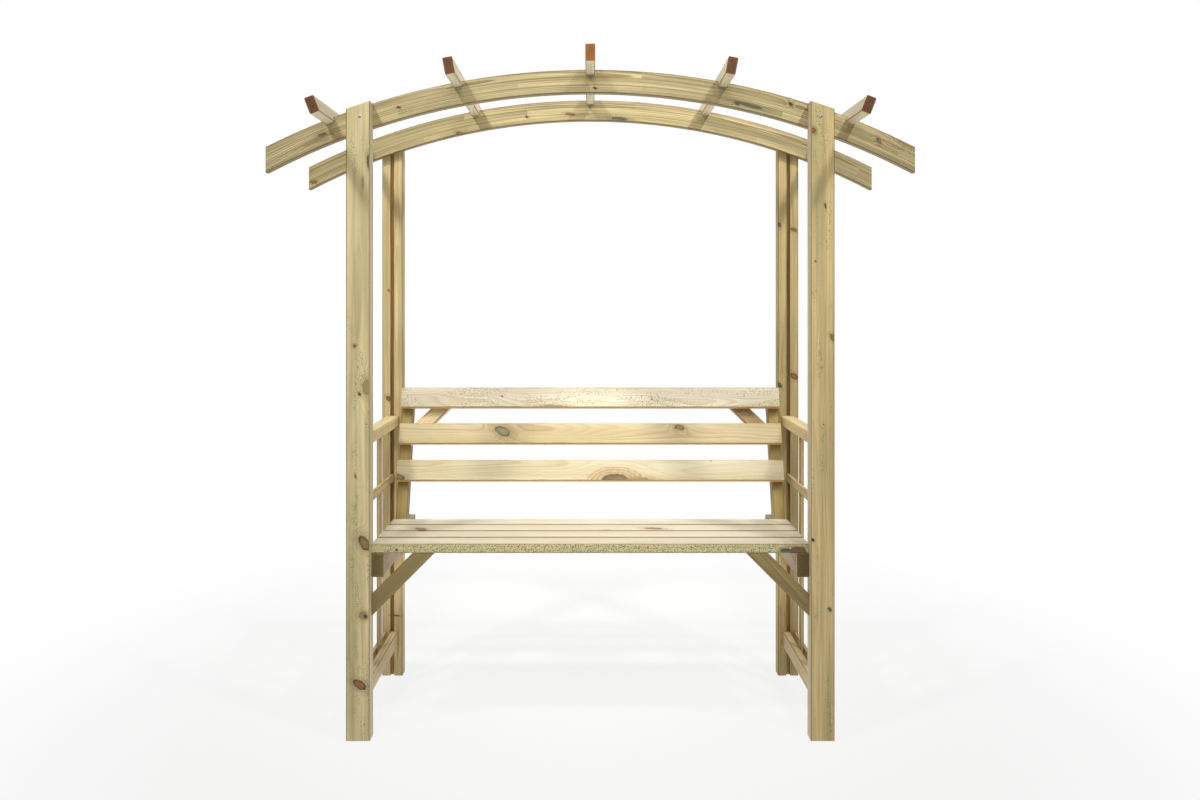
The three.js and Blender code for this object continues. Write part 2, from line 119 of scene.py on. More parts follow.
class Writer:
    """Adds nodes to a tree. An input is fed a plain value or another node's output."""

    def __init__(self, tree):
        self.tree = tree

    def feed(self, socket, value):
        if isinstance(value, bpy.types.NodeSocket):
            self.tree.links.new(value, socket)
        elif value is not None:
            socket.default_value = value

    def node(self, kind, *values, named=None, **settings):
        node = self.tree.nodes.new(kind)
        for name, value in settings.items():
            setattr(node, name, value)
        for socket, value in zip(node.inputs, values):
            self.feed(socket, value)
        for name, value in (named or {}).items():
            self.feed(node.inputs[name], value)
        return node

    def math(self, operation, *values):
        return self.node("ShaderNodeMath", *values, operation=operation).outputs[0]

    def plus(self, first, second):
        return self.math("ADD", first, second)

    def less(self, first, second):
        return self.math("SUBTRACT", first, second)

    def times(self, product, *factors):
        for factor in factors:
            product = self.math("MULTIPLY", product, factor)
        return product

    def times_plus(self, value, factor, more):
        return self.math("MULTIPLY_ADD", value, factor, more)

    def vector(self, operation, *values):
        node = self.node("ShaderNodeVectorMath", *values, operation=operation)
        return node.outputs["Value" if operation in ("LENGTH", "DOT_PRODUCT") else "Vector"]

    def scaled(self, vector, factor):
        named = {"Scale": factor}
        node = self.node("ShaderNodeVectorMath", vector, named=named, operation="SCALE")
        return node.outputs["Vector"]

    def joined(self, *parts):
        return self.node("ShaderNodeCombineXYZ", *parts).outputs[0]

    def parts(self, vector):
        return self.node("ShaderNodeSeparateXYZ", vector).outputs

    def noise(self, vector, detail=2.0, output="Fac"):
        named = {"Scale": 1.0, "Detail": detail}
        return self.node("ShaderNodeTexNoise", vector, named=named).outputs[output]

    def chance(self, number):
        """A value from 0 to 1 that looks random, and is the same for the same number."""
        named = {"W": number}
        node = self.node("ShaderNodeTexWhiteNoise", named=named, noise_dimensions="1D")
        return node.outputs["Value"]

    def step(self, value, low, high):
        """Rises softly from 0 at low to 1 at high, or falls where low is the larger."""
        node = self.node("ShaderNodeMapRange", value, low, high, interpolation_type="SMOOTHSTEP")
        return node.outputs["Result"]

    def mix(self, factor, first, second):
        node = self.node("ShaderNodeMix", factor, data_type="RGBA")
        self.feed(node.inputs[MIX_FIRST], first)
        self.feed(node.inputs[MIX_SECOND], second)
        return node.outputs[MIX_RESULT]

    def relief(self, height, strength, distance):
        named = {"Strength": strength, "Distance": distance, "Height": height}
        return self.node("ShaderNodeBump", named=named).outputs["Normal"]

    def call(self, group, **values):
        """A group in use. An underscore in an input's name stands for the space."""
        named = {name.replace("_", " "): value for name, value in values.items()}
        return self.node("ShaderNodeGroup", named=named, node_tree=group).outputs


print("node writer ready")

# %% Trees, groups and tones


def blank(owner):
    """Empties the node tree of a material or a world and gives its writer."""
    owner.use_nodes = True
    owner.node_tree.nodes.clear()
    return Writer(owner.node_tree)


def new_group(name, inputs, outputs):
    """A shader group with named sockets: its tree, its writer, what it is given, its end."""
    tree = bpy.data.node_groups.new(name, "ShaderNodeTree")
    for in_out, sockets in (("INPUT", inputs), ("OUTPUT", outputs)):
        for socket, kind in sockets.items():
            tree.interface.new_socket(socket, in_out=in_out, socket_type="NodeSocket" + kind)
    start, end = tree.nodes.new("NodeGroupInput"), tree.nodes.new("NodeGroupOutput")
    return tree, Writer(tree), start.outputs, end.inputs


def linear(hex_colour):
    """A colour written in sRGB, such as #b8a97c, as the linear values a shader works in."""
    parts = [int(hex_colour[i : i + 2], 16) / 255 for i in (1, 3, 5)]
    return [c / 12.92 if c <= 0.04045 else ((c + 0.055) / 1.055) ** 2.4 for c in parts] + [1.0]


print("a pine tone as a shader takes it:", [round(c, 3) for c in linear("#b8a97c")])

# %% [markdown]
# ## Studio
#
# The shadows in the photograph tell where its two hard lamps stood: a purlin throws one
# shadow down to each side on the arch below it, and the crossing point of the two gives
# their height. Both lamps are high and in front, and each is turned to its own half of
# the seat: only the middle purlin throws two equal shadows, and the feet of the posts are
# dimmer than their tops. The seat shows no shadows of the posts, so a broad soft lamp
# shines on it from the front. A pale ceiling and a pale floor fill in from above and from
# below. To the camera the floor and the world are white, and the floor still shows
# shadows near the seat.

# %% Lamps
LAMP_PLACE, LAMP_AIM = (2.73, -2.3, 5.94), (0.6, 0.0, 2.1)
LAMP_SIZE, LAMP_SPREAD, LAMP_WATTS = 0.5, math.radians(28), 7.8
SOFT_PLACE, SOFT_AIM = (0, -2.5, 3.5), (0, 0.05, 0.6)
SOFT_SIZE, SOFT_SPREAD, SOFT_WATTS = 1.6, math.radians(33), 3.9


def lamp(name, place, aim, size, spread, watts):
    """A round lamp turned towards aim, with a beam that fades out to its sides."""
    data = bpy.data.lights.new(name, "AREA")
    data.shape, data.size, data.spread, data.energy = "DISK", size, spread, watts
    light = link(name, data)
    light.location = place
    light.rotation_euler = (Vector(aim) - light.location).to_track_quat("-Z", "Y").to_euler()


for side_name, side in SIDES.items():
    place, aim = [(side * x, y, z) for x, y, z in (LAMP_PLACE, LAMP_AIM)]
    lamp(f"lamp_{side_name}", place, aim, LAMP_SIZE, LAMP_SPREAD, LAMP_WATTS)
lamp("lamp_soft", SOFT_PLACE, SOFT_AIM, SOFT_SIZE, SOFT_SPREAD, SOFT_WATTS)
print("lamps: two hard ones and a soft one")

# %% World
CEILING_LIGHT, CEILING_FADE, WALL_LIGHT = 2.0, 6.0, 0.05
WHITE = (1, 1, 1, 1)


def seen_directly(write):
    """1 for what the camera sees directly, in a mirror or through glass, and 0 for light."""
    path = write.node("ShaderNodeLightPath").outputs
    mirrored = write.math("MAXIMUM", path["Is Glossy Ray"], path["Is Transmission Ray"])
    return write.math("MAXIMUM", path["Is Camera Ray"], mirrored)


world = bpy.data.worlds.new("studio")
write = blank(world)
up = write.parts(write.node("ShaderNodeTexCoord").outputs["Generated"])["Z"]
overhead = write.math("POWER", write.math("MAXIMUM", up, 0.0), CEILING_FADE)
light = write.plus(write.times(overhead, CEILING_LIGHT), WALL_LIGHT)
strength = write.node("ShaderNodeMix", seen_directly(write), None, light, 1.0, data_type="FLOAT")
background = write.node("ShaderNodeBackground", WHITE, strength.outputs[0])
write.node("ShaderNodeOutputWorld", background.outputs[0])
scene.world = world
print("world:", world.name)

# %% Floor
FLOOR_SEEN, FLOOR_BOUNCE = "#d8d7d4", "#a8a7a3"
FLOOR_GLOW = 0.5
FLOOR_WHITE, FLOOR_FADE = 0.83, (1.0, 2.4)
FLOOR_RADIUS, FLOOR_SIDES = 14.0, 64

floor_material = bpy.data.materials.new("floor")
write = blank(floor_material)
seen = seen_directly(write)
colour = write.mix(seen, linear(FLOOR_BOUNCE), linear(FLOOR_SEEN))
matt = write.node("ShaderNodeBsdfDiffuse", colour).outputs[0]
white = write.node("ShaderNodeEmission", WHITE, 1.0).outputs[0]
glow = write.node("ShaderNodeEmission", WHITE, FLOOR_GLOW).outputs[0]
place = write.node("ShaderNodeTexCoord").outputs["Object"]
far = write.step(write.vector("LENGTH", place), *FLOOR_FADE)
whiteness = write.node("ShaderNodeMapRange", far, 0.0, 1.0, FLOOR_WHITE, 1.0).outputs["Result"]
shown = write.node("ShaderNodeMixShader", whiteness, matt, white).outputs[0]
lit = write.node("ShaderNodeAddShader", matt, glow).outputs[0]
blend = write.node("ShaderNodeMixShader", seen, lit, shown)
write.node("ShaderNodeOutputMaterial", blend.outputs[0])


def solid(name, points, faces=()):
    """A mesh object made of points and faces."""
    mesh = bpy.data.meshes.new(name)
    mesh.from_pydata(points, [], faces)
    return link(name, mesh)


turns = np.linspace(0, math.tau, FLOOR_SIDES, endpoint=False)
rim = [(FLOOR_RADIUS * math.cos(turn), FLOOR_RADIUS * math.sin(turn), 0) for turn in turns]
floor = solid("floor", rim, [range(FLOOR_SIDES)])
floor.data.materials.append(floor_material)
floor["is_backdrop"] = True
print("floor:", FLOOR_RADIUS * 2, "m across")

# %% [markdown]
# ## Growth rings
#
# A board is cut out of a round trunk, so its pattern is a slice through nested tubes. The
# trick is to draw the tubes and let the board's faces slice them: lines on the edges,
# tall arches on the wide faces and arcs on the ends all follow without any more work.
# Each board carries its own coordinates, named grain: across, through and along it. The
# distance from a slowly wandering pith says which ring a point is in.

# %% Growth rings
RING_TAPER = 0.004
WANDER_SCALE = (7.0, 7.0, 1.25)
SEED_STEP = (17.3, 9.1, 5.7)  # each seed looks at another part of the noise
HALF = (0.5, 0.5, 0.5)

growth, write, given, result = new_group(
    "growth_rings",
    {"Grain": "Vector", "Seed": "Float", "Pith": "Vector", "Wander": "Float"},
    {"Radius": "Float"},
)
elsewhere = write.scaled(SEED_STEP, given["Seed"])
slow = write.vector("MULTIPLY", given["Grain"], WANDER_SCALE)
wander = write.noise(write.vector("ADD", slow, elsewhere), 2.0, "Color")
wander = write.scaled(write.vector("SUBTRACT", wander, HALF), given["Wander"])
from_pith = write.vector("ADD", write.vector("SUBTRACT", given["Grain"], given["Pith"]), wander)
radius = write.vector("LENGTH", write.vector("MULTIPLY", from_pith, (1, 1, 0)))
taper = write.times(write.parts(given["Grain"])["Z"], RING_TAPER)
write.feed(result["Radius"], write.plus(radius, taper))
print("group:", growth.name)

# %% [markdown]
# ## Knots
#
# A knot is a branch that the trunk grew round. It shows as an oval of its own rings, often
# leaning as the branch did, and the grain swerves to pass it. One group measures how many
# knot radii away a point is, so that the same number can push the rings aside and paint
# the oval. A little noise keeps the oval from being a drawn ellipse, and a finer one,
# patch, breaks up its bark and its rings.

# %% How near a knot is
RAGGED_SCALE, RAGGED_MOST = 0.9, 0.009
SWERVE_FALL, SWERVE_SHARE = -0.22, 1.3
PATCH_SCALE, PATCH_EDGE = 62.0, (0.38, 0.6)

knot_reach, write, given, result = new_group(
    "knot_reach",
    {"Grain": "Vector", "Centre": "Vector", "Size": "Float", "Shape": "Vector", "Lean": "Float"},
    {"Reach": "Float", "Swerve": "Float", "Patch": "Float"},
)
away = write.vector("SUBTRACT", given["Grain"], given["Centre"])
away = write.vector("MULTIPLY", away, given["Shape"])
leaning = write.times(write.parts(away)["Z"], given["Lean"])
away = write.vector("ADD", away, write.joined(leaning))
ragged = write.scaled(given["Grain"], write.math("DIVIDE", RAGGED_SCALE, given["Size"]))
ragged = write.vector("SUBTRACT", write.noise(ragged, 1.0, "Color"), HALF)
ragged = write.scaled(ragged, write.math("MINIMUM", given["Size"], RAGGED_MOST))
reach = write.vector("LENGTH", write.vector("ADD", away, ragged))
reach = write.math("DIVIDE", reach, given["Size"])
write.feed(result["Reach"], reach)
falling = write.math("EXPONENT", write.times(reach, reach, SWERVE_FALL))
write.feed(result["Swerve"], write.times(falling, given["Size"], SWERVE_SHARE))
patch = write.noise(write.scaled(given["Grain"], PATCH_SCALE), 3.0)
write.feed(result["Patch"], write.step(patch, *PATCH_EDGE))
print("group:", knot_reach.name)

# %% Painting a knot
# In knot radii: between which the tint, the halo, the outer lines and the branch fade out
TINT_FADE, HALO_FADE = (2.3, 1.7), (2.4, 0.9)
LINES_FADE, BRANCH_FADE = (2.35, 2.05), (1.1, 0.85)
LINES_PER_RADIUS, LINE_EDGE = 2.7, (0.3, 0.08)
YEARS, YEAR_BEND, YEAR_DEPTH = 15.0, 4.0, 0.15
DARKENING, DARKENING_POWER = 0.6, 3.0
BARK_AT, BARK_EDGE = 0.95, (0.2, 0.04)
# How much of each depends on the patches, and how much is there without them
TINT_PATCHED, LINE_PATCHED, BARK_PATCHED = (0.4, 0.2), (0.4, 0.6), (0.5, 0.4)

knot_paint, write, given, result = new_group(
    "knot_paint",
    {
        "Wood": "Color", "Reach": "Float", "Patch": "Float", "Heart": "Color", "Rim": "Color",
        "Halo": "Float", "Ring": "Color", "Ring share": "Float",
    },
    {"Colour": "Color"},
)
near, patch = given["Reach"], given["Patch"]
around = write.times(write.step(near, *TINT_FADE), given["Ring share"])
tinted = write.times(around, write.times_plus(patch, *TINT_PATCHED))
painted = write.mix(tinted, given["Wood"], given["Ring"])
halo = write.times(write.step(near, *HALO_FADE), given["Halo"])
painted = write.mix(halo, painted, given["Rim"])
from_line = write.less(write.math("FRACT", write.times(near, LINES_PER_RADIUS)), 0.5)
line = write.step(write.math("ABSOLUTE", from_line), *LINE_EDGE)
line = write.times(line, write.times_plus(patch, *LINE_PATCHED))
outer = write.times(write.step(near, *LINES_FADE), given["Ring share"])
painted = write.mix(write.times(line, outer), painted, given["Ring"])
swing = write.times_plus(near, YEARS, write.times(patch, YEAR_BEND))
year = write.times_plus(write.math("SINE", swing), YEAR_DEPTH, YEAR_DEPTH)
year = write.times_plus(write.math("POWER", near, DARKENING_POWER), DARKENING, year)
branch = write.mix(year, given["Heart"], given["Rim"])
painted = write.mix(write.step(near, *BRANCH_FADE), painted, branch)
bark = write.step(write.math("ABSOLUTE", write.less(near, BARK_AT)), *BARK_EDGE)
bark = write.times(bark, write.times_plus(patch, *BARK_PATCHED))
painted = write.mix(bark, painted, given["Rim"])
write.feed(result["Colour"], painted)
print("group:", knot_paint.name)

# %% [markdown]
# ## The planed surface
#
# Given the ring that a point is in, the surface group makes the colour: pale early wood
# that darkens towards each ring's end and then starts afresh, slow drifts between two
# tones, long streaks, fine fibres, and specks where the treatment has dried in the pores.
# Sawn ends drink more stain than planed faces, so a face that looks along the board takes
# the end tone. The eased long edges hold a thin golden line, which draws each board's
# outline in the photograph. The same numbers drive the roughness and the relief.

# %% The planed surface
SURFACE_SEED_STEP = (3.1, 7.7, 11.9)

surface, write, given, result = new_group(
    "pine_surface",
    {
        "Grain": "Vector", "Seed": "Float", "Radius": "Float", "Spacing": "Float",
        "Pale": "Color", "Tint": "Color", "Dark": "Color", "Tint share": "Float",
        "Rings": "Float", "Streaks": "Float", "Specks": "Float", "Speck": "Color",
        "End axis": "Vector", "End": "Color", "End core": "Color", "End share": "Float",
        "Half size": "Vector", "Arris": "Color", "Arris share": "Float",
    },
    {"Colour": "Color", "Roughness": "Float", "Height": "Float"},
)
elsewhere = write.scaled(SURFACE_SEED_STEP, given["Seed"])


def at_scale(scale):
    """The board's coordinates stretched for a noise that is finer across than along."""
    across, along = scale
    stretched = write.vector("MULTIPLY", given["Grain"], (across, across, along))
    return write.vector("ADD", stretched, elsewhere)


print("group:", surface.name)

# %% Rings, streaks and fibres
# Noise scales per metre, across and along the board
BROAD_SCALE, STREAK_SCALE, FIBRE_SCALE = (22.0, 1.7), (120.0, 1.8), (900.0, 14.0)
LATE_RISE, LATE_STOP = (0.3, 0.88), (1.0, 0.93)
UNEVEN_SCALE, UNEVEN_RINGS = 45.0, 2.5
RING_VARIES, RING_LEAST = 0.7, 0.3
BROAD_EDGE, FIBRE_SHARE = (0.38, 0.62), 0.4

uneven = write.joined(write.times(given["Radius"], UNEVEN_SCALE), given["Seed"])
count = write.math("DIVIDE", given["Radius"], given["Spacing"])
count = write.plus(count, write.times(write.noise(uneven, 1.0), UNEVEN_RINGS))
phase = write.math("FRACT", count)
late = write.times(write.step(phase, *LATE_RISE), write.step(phase, *LATE_STOP))
this_year = write.plus(write.math("FLOOR", count), given["Seed"])
strength = write.times_plus(write.chance(this_year), RING_VARIES, RING_LEAST)
late = write.times(late, strength, given["Rings"])

broad = write.step(write.noise(at_scale(BROAD_SCALE), 3.0), *BROAD_EDGE)
streak = write.less(write.noise(at_scale(STREAK_SCALE), 4.0), 0.5)
fibre = write.less(write.noise(at_scale(FIBRE_SCALE), 2.0), 0.5)

colour = write.mix(write.times(broad, given["Tint share"]), given["Pale"], given["Tint"])
colour = write.mix(late, colour, given["Dark"])
bright = write.times_plus(streak, given["Streaks"], 1.0)
bright = write.times_plus(fibre, FIBRE_SHARE, bright)
colour = write.scaled(colour, bright)
print("rings, streaks and fibres:", len(surface.nodes), "nodes")

# %% Specks
FLOCK_SCALE, PORE_SCALE = (30.0, 7.0), (340, 340, 230)
FLOCK_LIMIT, FLOCK_GAIN, FLOCK_EDGE = 0.74, 0.45, 0.14
PORES_USED, PORE_EDGE = (0.6, 0.5), (0.5, 0.36)
SPECK_GAIN, SPECK_MOST = 3.0, 0.9

at_pores = write.vector("MULTIPLY", given["Grain"], PORE_SCALE)
pores = write.node("ShaderNodeTexVoronoi", at_pores, named={"Scale": 1.0}).outputs
flocked = write.less(FLOCK_LIMIT, write.times(given["Specks"], FLOCK_GAIN))
flocks = write.noise(at_scale(FLOCK_SCALE), 2.0)
flocks = write.step(flocks, flocked, write.plus(flocked, FLOCK_EDGE))
chosen = write.step(write.parts(pores["Color"])["X"], *PORES_USED)
dot = write.times(write.step(pores["Distance"], *PORE_EDGE), chosen)
strongest = write.math("MINIMUM", write.times(given["Specks"], SPECK_GAIN), SPECK_MOST)
colour = write.mix(write.times(dot, flocks, strongest), colour, given["Speck"])
print("with specks:", len(surface.nodes), "nodes")

# %% Sawn ends and golden edges
SOAKED_SCALE, SOAKED_EDGE = (240.0, 240.0), (0.36, 0.56)
END_FACING, CORE_DEPTH, ARRIS_WIDTH = (0.5, 0.6), (0.0015, 0.007), (0.0038, 0.0018)
RINGS_ON_END, ARRIS_STREAKS = -0.55, 1.5

facing = write.node("ShaderNodeTexCoord").outputs["Normal"]
facing = write.math("ABSOLUTE", write.vector("DOT_PRODUCT", facing, given["End axis"]))
end = write.step(facing, *END_FACING)
inside = write.vector("SUBTRACT", given["Half size"], write.vector("ABSOLUTE", given["Grain"]))
inside = write.parts(inside)
core = write.step(write.math("MINIMUM", inside["X"], inside["Y"]), *CORE_DEPTH)
patchy = write.noise(at_scale(SOAKED_SCALE), 3.0)
core = write.times(core, write.step(patchy, *SOAKED_EDGE))
soaked = write.mix(core, given["End"], given["End core"])
ringed = write.times_plus(late, RINGS_ON_END, 1.0)
soaked = write.scaled(soaked, write.times(ringed, write.plus(patchy, 0.5)))
arris = write.step(write.math("MAXIMUM", inside["X"], inside["Y"]), *ARRIS_WIDTH)
arris = write.times(arris, write.times_plus(streak, ARRIS_STREAKS, 1.0))
colour = write.mix(write.times(arris, given["Arris share"]), colour, given["Arris"])
colour = write.mix(write.times(end, given["End share"]), colour, soaked)
write.feed(result["Colour"], colour)
print("with ends and edges:", len(surface.nodes), "nodes")

# %% Roughness and relief
PLANED_ROUGHNESS, SAWN_ROUGHNESS = 0.58, 0.85
# What late wood, streaks and fibres do to the roughness and to the height
LATE_ROUGH, STREAK_ROUGH = -0.12, 0.3
LATE_HEIGHT, STREAK_HEIGHT, FIBRE_HEIGHT = 0.6, 0.8, 0.9

rough = write.times_plus(late, LATE_ROUGH, PLANED_ROUGHNESS)
rough = write.times_plus(streak, STREAK_ROUGH, rough)
sawn = write.times(end, SAWN_ROUGHNESS)
write.feed(result["Roughness"], write.math("MAXIMUM", rough, sawn))
height = write.times_plus(late, LATE_HEIGHT, write.times(fibre, FIBRE_HEIGHT))
write.feed(result["Height"], write.times_plus(streak, STREAK_HEIGHT, height))
print("surface finished:", len(surface.nodes), "nodes")

# %% [markdown]
# ## A finish for each board
#
# Timber comes from the same yard but not from the same tree. Each board therefore gets a
# material of its own, written by one function: the look of its family, its own pith and
# pattern, and whatever knots it shows. An arch is glued up out of three thin laminations
# of finger-jointed blocks, so its pattern starts afresh at each glue line and each joint.
# One shader holds about a dozen knots, so a board is given ten at most.

# %% Kinds of knot and looks
# Each kind: the heart's and the rim's tone, the halo's share, the outer ring's tone and
# share, and how far the knot leans
KNOTS = {
    "brown": ("#8f7346", "#473622", 0.22, "#a07d48", 0.22, 0.45),
    "dark": ("#453627", "#2e241b", 0.25, "#8d7448", 0.15, 0.3),
    "red": ("#9c6a38", "#3f2c1c", 0.20, "#a08050", 0.20, 0.55),
    "grey": ("#948c66", "#50523c", 0.14, "#a87a38", 0.42, 0.55),
    "green": ("#56573c", "#3a3a2c", 0.35, "#82855c", 0.20, 0.3),
    "ring": ("#96652c", "#2a1d14", 0.42, "#7d5c33", 0.20, 0.2),
    "soft": ("#9c8859", "#8c774c", 0.40, "#a08652", 0.10, 0.1),
    "swirl": ("#7f6643", "#4d402a", 0.14, "#a9823f", 0.70, 0.0),
    "amber": ("#6f5136", "#50402b", 0.20, "#96733a", 0.28, 0.15),
}
PLAIN = {
    "Tint share": 0.8, "Rings": 0.6, "Streaks": 0.4, "Specks": 0.12, "Speck": "#6f7b55",
    "End": "#a58a5a", "End core": "#8f7648", "End share": 0.6, "Wander": 0.022,
    "Arris": "#93723a", "Arris share": 0.65,
}
LOOKS = {
    "post": {"Pale": "#decb9b", "Tint": "#c2b384", "Dark": "#a3864f", "Streaks": 0.6},
    "groove": {"Pale": "#c7a468", "Tint": "#a88550", "Dark": "#85652f", "Arris share": 0.0},
    "arch": {
        "Pale": "#d0bd8d", "Tint": "#b0a172", "Dark": "#745f36", "Tint share": 1.0, "Rings": 0.9,
        "Streaks": 1.7, "Specks": 0.3, "Speck": "#66704c", "Arris": "#75592c", "Arris share": 0.8,
    },
    "purlin": {
        "Pale": "#efe5c9", "Tint": "#e2d6b2", "Dark": "#c4ae82", "End": "#7f4a20",
        "End core": "#50402f", "End share": 1.0,
    },
    "seat": {"Pale": "#c9c4b1", "Tint": "#bdb59c", "Dark": "#b09d76", "Streaks": 0.14, "Specks": 0.0},
    "seat_edge": {
        "Pale": "#d6ca99", "Tint": "#cabf8c", "Dark": "#a79961", "Specks": 1.0, "Speck": "#35544c",
    },
    "slat_edge": {"Pale": "#b98f50", "Tint": "#a98450", "Dark": "#8a6434", "Specks": 0.0},
    "back": {
        "Pale": "#e0d2a6", "Tint": "#d8c798", "Dark": "#c4a06a", "Streaks": 0.2, "Specks": 0.05,
        "Wander": 0.045, "Arris": "#a8782e", "Arris share": 0.8,
    },
    "rail": {"Pale": "#d2bd8d", "Tint": "#c0ab7b", "Dark": "#9c8050", "Streaks": 0.5},
}
print("looks:", ", ".join(LOOKS))

# %% Glued laminations
LAMINATIONS, GLUE_EDGE, LAYER_CLEAR = 3, (0.42, 0.475), 0.03
BLOCK_LENGTH, BLOCK_SHIFT = 0.58, 0.37
BLOCK_STEP, LAYER_STEP = 1.7, 5.3  # how far the seed moves on


def glued_up(write, grain, seed, height):
    """A seed that changes at each glue line and joint, the glue line, and a share per block."""
    across, _, along = write.parts(grain)
    strip = write.times_plus(across, LAMINATIONS / height, LAMINATIONS / 2)
    strip = write.math("MINIMUM", write.math("MAXIMUM", strip, LAYER_CLEAR), LAMINATIONS - LAYER_CLEAR)
    layer = write.math("FLOOR", strip)
    block = write.times_plus(layer, BLOCK_SHIFT, write.math("DIVIDE", along, BLOCK_LENGTH))
    own = write.times_plus(write.math("FLOOR", block), BLOCK_STEP, write.times(layer, LAYER_STEP))
    from_middle = write.math("ABSOLUTE", write.less(write.math("FRACT", strip), 0.5))
    return write.plus(own, seed), write.step(from_middle, *GLUE_EDGE), write.chance(own)


print("an arch has", LAMINATIONS, "laminations, in blocks of", BLOCK_LENGTH, "m")

# %% The finish of a board
RING_SPACING = 0.0036
PITH_ASIDE, PITH_BELOW = 1.1, (0.008, 0.05)
LEAN_SHARES = (0.7, 1.3)
ARCH_BLOCK, BLOCK_SHARE, GLUE_SHARE = "#9d9367", 0.3, 0.5
WOOD_SHINE = 0.45
WOOD_RELIEF = (0.4, 0.0008)


def pine(name, look, seed, half_size, end_axis, knots=(), glued=False, **changes):
    """The finish of one board. A knot is a middle, a size, a shape, a kind and a hand."""
    chooser = random.Random(f"pine {seed}")
    looks = {**PLAIN, **LOOKS[look], **changes}
    wander = looks.pop("Wander")
    looks = {key: linear(value) if isinstance(value, str) else value for key, value in looks.items()}
    material = bpy.data.materials.new(name)
    write = blank(material)
    grain = write.node("ShaderNodeAttribute", attribute_name="grain").outputs["Vector"]
    own_seed = seed
    if glued:
        own_seed, glue, block = glued_up(write, grain, seed, 2 * half_size[0])
    depth = -half_size[1] - chooser.uniform(*PITH_BELOW)
    pith = (chooser.uniform(-PITH_ASIDE, PITH_ASIDE) * half_size[0], depth, 0)
    radius = write.call(growth, Grain=grain, Seed=own_seed, Pith=pith, Wander=wander)["Radius"]
    reaches = []
    for centre, size, shape, kind, hand in knots:
        lean = hand * KNOTS[kind][-1] * chooser.uniform(*LEAN_SHARES)
        knot = write.call(
            knot_reach, Grain=grain, Centre=centre, Size=size, Shape=shape, Lean=lean
        )
        radius = write.plus(radius, knot["Swerve"])
        reaches.append((knot["Reach"], knot["Patch"], kind))
    made = write.call(
        surface, Grain=grain, Seed=own_seed, Radius=radius, Spacing=RING_SPACING,
        Half_size=half_size, End_axis=end_axis, **looks,
    )
    colour = made["Colour"]
    if glued:
        colour = write.mix(write.times(block, BLOCK_SHARE), colour, linear(ARCH_BLOCK))
        colour = write.mix(write.times(glue, GLUE_SHARE), colour, looks["Dark"])
    for reach, patch, kind in reaches:
        heart, rim, halo, ring, share, _ = KNOTS[kind]
        colour = write.call(
            knot_paint, Wood=colour, Reach=reach, Patch=patch, Heart=linear(heart),
            Rim=linear(rim), Halo=halo, Ring=linear(ring), Ring_share=share,
        )["Colour"]
    finish = {
        "Base Color": colour, "Roughness": made["Roughness"], "Specular IOR Level": WOOD_SHINE,
        "Normal": write.relief(made["Height"], *WOOD_RELIEF),
    }
    wood = write.node("ShaderNodeBsdfPrincipled", named=finish)
    write.node("ShaderNodeOutputMaterial", wood.outputs["BSDF"])
    return material


print("growth rings are", RING_SPACING * 1000, "mm apart")

# %% [markdown]
# ## Straight boards
#
# A planed board is a rounded rectangle carried along a line and sawn off at both ends. A
# cube with bevelled edges would round the sawn ends too, and could not have slanted ends.
# So the outline is drawn once and slid along the board's direction until it meets each
# sawn plane. Both planes and all the sizes are read from the loaded solid.

# %% Reading a board's place from its solid
SAWN_FACING = 0.4


class Timber:
    """Where a straight board lies: its axes, its middle, its half sizes and its sawn ends."""

    def __init__(self, node, along, across):
        self.along, self.across = along.normalized(), across.normalized()
        self.through = self.along.cross(self.across)
        self.axes = np.array([self.across, self.through, self.along])
        self.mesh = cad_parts[node].data
        reach = np.array([vertex.co for vertex in self.mesh.vertices]) @ self.axes.T
        low, high = reach.min(0), reach.max(0)
        self.half = [float(c) for c in (high - low) / 2]
        self.middle = Vector((low + high) / 2 @ self.axes)
        self.ends = [self.sawn(-1), self.sawn(1)]

    def sawn(self, direction):
        """A point and the normal of the largest flat face at one end."""
        planes = {}
        for face in self.mesh.polygons:
            if face.normal.dot(self.along) * direction > SAWN_FACING:
                level = round(face.center.dot(face.normal), 4)
                key = (level, *(round(c, 2) for c in face.normal))
                planes.setdefault(key, []).append(face)
        widest = max(planes.values(), key=lambda faces: sum(face.area for face in faces))
        return widest[0].center.copy(), widest[0].normal.copy()

    def to_grain(self, points):
        """Model points as distances across, through and along the board."""
        return (np.asarray(points) - np.array(self.middle)) @ self.axes.T


print("example:", [round(2 * c, 3) for c in Timber("front_post_left", Z, X).half], "m")

# %% Outlines and prisms
EDGE_STEPS = 4


def rounded(half_width, half_depth, radius):
    """A rectangle's outline with rounded corners, anticlockwise from its right side."""
    corners = ((1, 1), (-1, 1), (-1, -1), (1, -1))
    outline = []
    for quarter, (right, up) in enumerate(corners):
        for turn in np.linspace(quarter, quarter + 1, EDGE_STEPS + 1) * math.pi / 2:
            x = right * (half_width - radius) + radius * math.cos(turn)
            y = up * (half_depth - radius) + radius * math.sin(turn)
            outline.append((x, y))
    return outline


def skin(name, rings, inside_out=False):
    """A closed piece out of rings of equally many points, capped at both ends."""
    count, last = len(rings[0]), len(rings) - 1
    faces = [tuple(range(count))[::-1], tuple(range(last * count, (last + 1) * count))]
    for start in range(0, last * count, count):
        for i in range(count):
            a, b = start + i, start + (i + 1) % count
            faces.append((a, b, b + count, a + count))
    if inside_out:  # each face is turned over, and keeps its first point
        faces = [face[:1] + face[:0:-1] for face in faces]
    return solid(name, [point for ring in rings for point in ring], faces)


